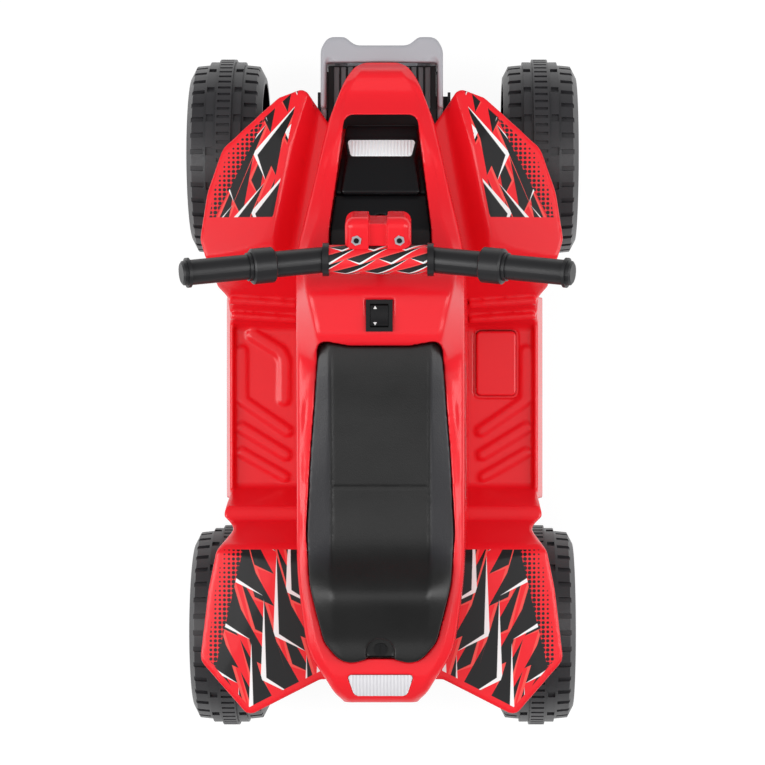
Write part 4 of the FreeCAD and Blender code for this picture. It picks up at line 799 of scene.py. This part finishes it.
def lens_ribs(lens_name, material):
    """One ridge along Y for each flute of a lens."""
    low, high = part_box(lens_name)
    shape = bmesh.new()
    half = FLUTE_PITCH * RIDGE_SHARE / 2
    for number in range(round((high[0] - low[0]) / FLUTE_PITCH)):
        x = low[0] + (number + 0.5) * FLUTE_PITCH
        sections = []
        for step in range(RIDGE_STEPS + 1):
            share = RIDGE_MARGIN + (1 - 2 * RIDGE_MARGIN) * step / RIDGE_STEPS
            y = low[1] + (high[1] - low[1]) * share
            starts = [Vector((x + side * half, y, high[2] + RAY_START)) for side in (-1, 0, 1)]
            rays = [nodes[lens_name].ray_cast(start, DOWN) for start in starts]
            if all(hit and normal.z > RIDGE_FACING for hit, _, normal, _ in rays):
                left, middle, right = (spot for _, spot, _, _ in rays)
                sections.append((left, middle + RIDGE_HEIGHT * UP, right))
        if len(sections) > 2:
            add_bar(shape, sections)
    return piece_from(f"{lens_name}_ribs", shape, material, "chassis")


for lens_name, material in (("headlight_lens", head_lens), ("tail_light_lens", tail_lens)):
    ribs = lens_ribs(lens_name, material)
    print(ribs.name, len(ribs.data.polygons))

# %% [markdown]
# Under the rear lip of the tank a red wall goes down to the seat, so that no one can look into the cowl from
# behind. It stands just in front of the seat's front edge, which bends forward at the sides. Its upper edge
# follows the underside of the lip, which rays cast from below find.

# %% Wall between tank and seat
WALL_HALF = 0.056
WALL_STEPS = 28
WALL_FOOT = 0.284
WALL_DEPTH = 0.002
WALL_Y = 0.0430
WALL_STRAIGHT = 0.022
WALL_SLOPE = 0.0055 / 0.036
WALL_OVERLAP = 0.0006
WALL_TOP = 0.325


def wall_y(x):
    """Place of the wall just in front of the seat's curved front edge."""
    return WALL_Y + max(0.0, abs(x) - WALL_STRAIGHT) * WALL_SLOPE


wall_sections = []
for step in range(WALL_STEPS + 1):
    x = WALL_HALF * (2 * step / WALL_STEPS - 1)
    rear = wall_y(x)
    front = rear + WALL_DEPTH
    hit, spot, _, _ = nodes["centre_cowl"].ray_cast(Vector((x, rear, WALL_FOOT)), UP)
    top = spot.z + WALL_OVERLAP if hit else WALL_TOP
    wall_sections.append(((x, rear, WALL_FOOT), (x, front, WALL_FOOT), (x, front, top), (x, rear, top)))
wall_shape = bmesh.new()
add_bar(wall_shape, wall_sections)
tank_wall = piece_from("tank_rear_wall", wall_shape, red_plastic, "chassis")
print("wall faces:", len(tank_wall.data.polygons))

# %% [markdown]
# The foot pedal stands in a window of the right footwell. A red trim ring, set just below the floor of the
# footwell, leaves only a fine line round the pedal. It has more room in front, where the pedal's edge swings
# forward as it is pressed. One rounded face is inset, its middle is taken out, and the ring gets a thickness.

# %% Trim ring round the pedal
RING_WIDTH = 0.003
RING_THICK = 0.0012
RING_DEPTH = 0.0007
RING_ROOM = 0.0004
RING_ROOM_FRONT = 0.00125
RING_CORNER = 0.0084
FOOTWELL_TOP = 0.118

pedal_low, pedal_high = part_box("foot_pedal")
ring_z = FOOTWELL_TOP - RING_DEPTH
ring_low = Vector((pedal_low[0] - RING_ROOM, pedal_low[1] - RING_ROOM, ring_z))
ring_high = Vector((pedal_high[0] + RING_ROOM, pedal_high[1] + RING_ROOM_FRONT, ring_z))
ring_size = ring_high - ring_low + Vector((2 * RING_WIDTH, 2 * RING_WIDTH, 1.0))
ring_shape = bmesh.new()
bmesh.ops.create_grid(ring_shape, x_segments=1, y_segments=1, size=0.5)
bmesh.ops.scale(ring_shape, vec=ring_size, verts=ring_shape.verts)
bmesh.ops.translate(ring_shape, vec=(ring_low + ring_high) / 2, verts=ring_shape.verts)
bmesh.ops.bevel(ring_shape, geom=ring_shape.verts[:], offset=RING_CORNER, offset_type="OFFSET",
                affect="VERTICES", segments=6, profile=0.5, material=-1)
ring_middle = ring_shape.faces[:]
bmesh.ops.inset_region(ring_shape, faces=ring_middle, thickness=RING_WIDTH, use_boundary=True,
                       use_even_offset=True)
bmesh.ops.delete(ring_shape, geom=ring_middle, context="FACES")
bmesh.ops.solidify(ring_shape, geom=ring_shape.faces[:], thickness=RING_THICK)
pedal_ring = piece_from("pedal_ring", ring_shape, red_plastic, "chassis")
print("ring heights:", sorted({round(vertex.co.z, 4) for vertex in pedal_ring.data.vertices}))

# %% [markdown]
# Behind the bumper bar a grey grille lies on the shelf of the tray: a few ribs that run under the nose, and
# a dark strip on each side that closes the gap to the bumper arms. All are boxes with rounded edges.

# %% Grille behind the bumper
SHELF_TOP = 0.205
GRILLE_REAR = 0.285
GRILLE_FRONT = 0.3275
GRILLE_HEIGHT = 0.0035
GRILLE_ROUNDING = 0.0008
# Each rib: the distance of its middle from the centre line, and its width.
GRILLE_RIBS = ((0.0465, 0.0056), (0.0393, 0.0050), (0.0323, 0.0050), (0.0253, 0.0050))
STRIP_INNER = 0.0551
STRIP_OUTER = 0.0576
STRIP_FRONT = 0.323
STRIP_LOW = SHELF_TOP - 0.006
STRIP_HIGH = SHELF_TOP - 0.0005
STRIP_ROUNDING = 0.0004


def box_piece(name, low, high, rounding, material, body):
    """Box between two corners with rounded edges."""
    shape = bmesh.new()
    bmesh.ops.create_cube(shape, size=1.0)
    bmesh.ops.scale(shape, vec=Vector(high) - Vector(low), verts=shape.verts)
    bmesh.ops.translate(shape, vec=(Vector(low) + Vector(high)) / 2, verts=shape.verts)
    bmesh.ops.bevel(shape, geom=shape.edges[:], offset=rounding, offset_type="OFFSET", affect="EDGES",
                    segments=2, profile=0.5, material=-1)
    return piece_from(name, shape, material, body)


for side, sign in SIDES:
    for number, (middle, width) in enumerate(GRILLE_RIBS):
        low_x, high_x = sorted((sign * (middle - width / 2), sign * (middle + width / 2)))
        box_piece(f"{side}_grille_rib_{number}", (low_x, GRILLE_REAR, SHELF_TOP + LIFT),
                  (high_x, GRILLE_FRONT, SHELF_TOP + GRILLE_HEIGHT), GRILLE_ROUNDING, grille_grey, "chassis")
    low_x, high_x = sorted((sign * STRIP_INNER, sign * STRIP_OUTER))
    box_piece(f"{side}_grille_edge", (low_x, GRILLE_REAR, STRIP_LOW), (high_x, STRIP_FRONT, STRIP_HIGH),
              STRIP_ROUNDING, satin_black, "chassis")
print("grille ribs:", len(SIDES) * len(GRILLE_RIBS))

# %% [markdown]
# The floor is white where the camera, a reflection or a clear lens sees it, so that the bike stands on plain
# white. A part of it stays a plain matt surface, which takes the bike's shadow.

# %% Floor
FLOOR_HALF = 4.0
FLOOR_GREY = (0.85, 0.85, 0.85, 1.0)
FLOOR_GLOW = 1.1
FLOOR_GLOW_SHARE = 0.82
WHITE = (1, 1, 1, 1)

floor_material = bpy.data.materials.new("floor_white")
floor_material.use_nodes = True
floor_tree = floor_material.node_tree
floor_tree.nodes.clear()
floor_paths = floor_tree.nodes.new("ShaderNodeLightPath").outputs
floor_mirrored = sums(floor_tree, "MAXIMUM", floor_paths["Is Glossy Ray"], floor_paths["Is Transmission Ray"])
floor_seen = sums(floor_tree, "MAXIMUM", floor_paths["Is Camera Ray"], floor_mirrored)
floor_matt = put(floor_tree, "ShaderNodeBsdfDiffuse", Color=FLOOR_GREY)
floor_glow = put(floor_tree, "ShaderNodeEmission", Color=WHITE, Strength=FLOOR_GLOW)
floor_share = sums(floor_tree, "MULTIPLY", floor_seen, FLOOR_GLOW_SHARE)
floor_mix = put(floor_tree, "ShaderNodeMixShader", Fac=floor_share)
floor_tree.links.new(floor_matt.outputs["BSDF"], floor_mix.inputs[1])
floor_tree.links.new(floor_glow.outputs["Emission"], floor_mix.inputs[2])
put(floor_tree, "ShaderNodeOutputMaterial", Surface=floor_mix.outputs["Shader"])

floor_mesh = bpy.data.meshes.new("floor")
floor_shape = bmesh.new()
bmesh.ops.create_grid(floor_shape, x_segments=1, y_segments=1, size=FLOOR_HALF)
floor_shape.to_mesh(floor_mesh)
floor_shape.free()
floor_mesh.materials.append(floor_material)
floor = bpy.data.objects.new("floor", floor_mesh)
scene.collection.objects.link(floor)
print("floor side:", 2 * FLOOR_HALF)

# %% [markdown]
# The world is white where the camera or a clear lens sees it. For all other light it is only moderately
# bright, and darker still in reflections, so that the gloss comes from the lamps.

# %% World
WORLD_DIFFUSE = 0.58
WORLD_GLOSSY = 0.22

world = bpy.data.worlds.new("studio")
world.use_nodes = True
scene.world = world
world_tree = world.node_tree
world_paths = world_tree.nodes.new("ShaderNodeLightPath").outputs
world_seen = sums(world_tree, "MAXIMUM", world_paths["Is Camera Ray"], world_paths["Is Transmission Ray"])
world_plain = spread(world_tree, world_seen, 0.0, 1.0, WORLD_DIFFUSE, 1.0)
world_strength = sums(world_tree, "MULTIPLY_ADD", world_paths["Is Glossy Ray"], WORLD_GLOSSY - WORLD_DIFFUSE,
                      world_plain)
world_back = world_tree.nodes["Background"]
world_back.inputs["Color"].default_value = WHITE
fill(world_tree, world_back.inputs["Strength"], world_strength)
print("world strength:", WORLD_DIFFUSE)

# %% [markdown]
# Three soft lamps give the shading: one large box above, and one long box on each side for the pale lines
# along the rims.

# %% Lamps
LAMPS = (
    ("lamp_top", (0.0, -0.1, 3.6), (0, -0.1, 0.2), 2.6, 2.6, 10),
    ("lamp_left", (-1.9, -0.2, 2.0), (0, 0, 0.2), 1.0, 2.4, 34),
    ("lamp_right", (1.9, 0.0, 1.9), (0, 0, 0.2), 1.0, 2.4, 28),
)


def softbox(name, spot, aim, width, length, power):
    """Rectangular lamp that points at a place."""
    lamp = bpy.data.lights.new(name, "AREA")
    lamp.shape = "RECTANGLE"
    lamp.size = width
    lamp.size_y = length
    lamp.energy = power
    box = bpy.data.objects.new(name, lamp)
    box.location = spot
    box.rotation_euler = (Vector(aim) - Vector(spot)).to_track_quat("-Z", "Y").to_euler()
    box.visible_camera = False
    scene.collection.objects.link(box)


for lamp_values in LAMPS:
    softbox(*lamp_values)
print("lamps:", len(bpy.data.lights))
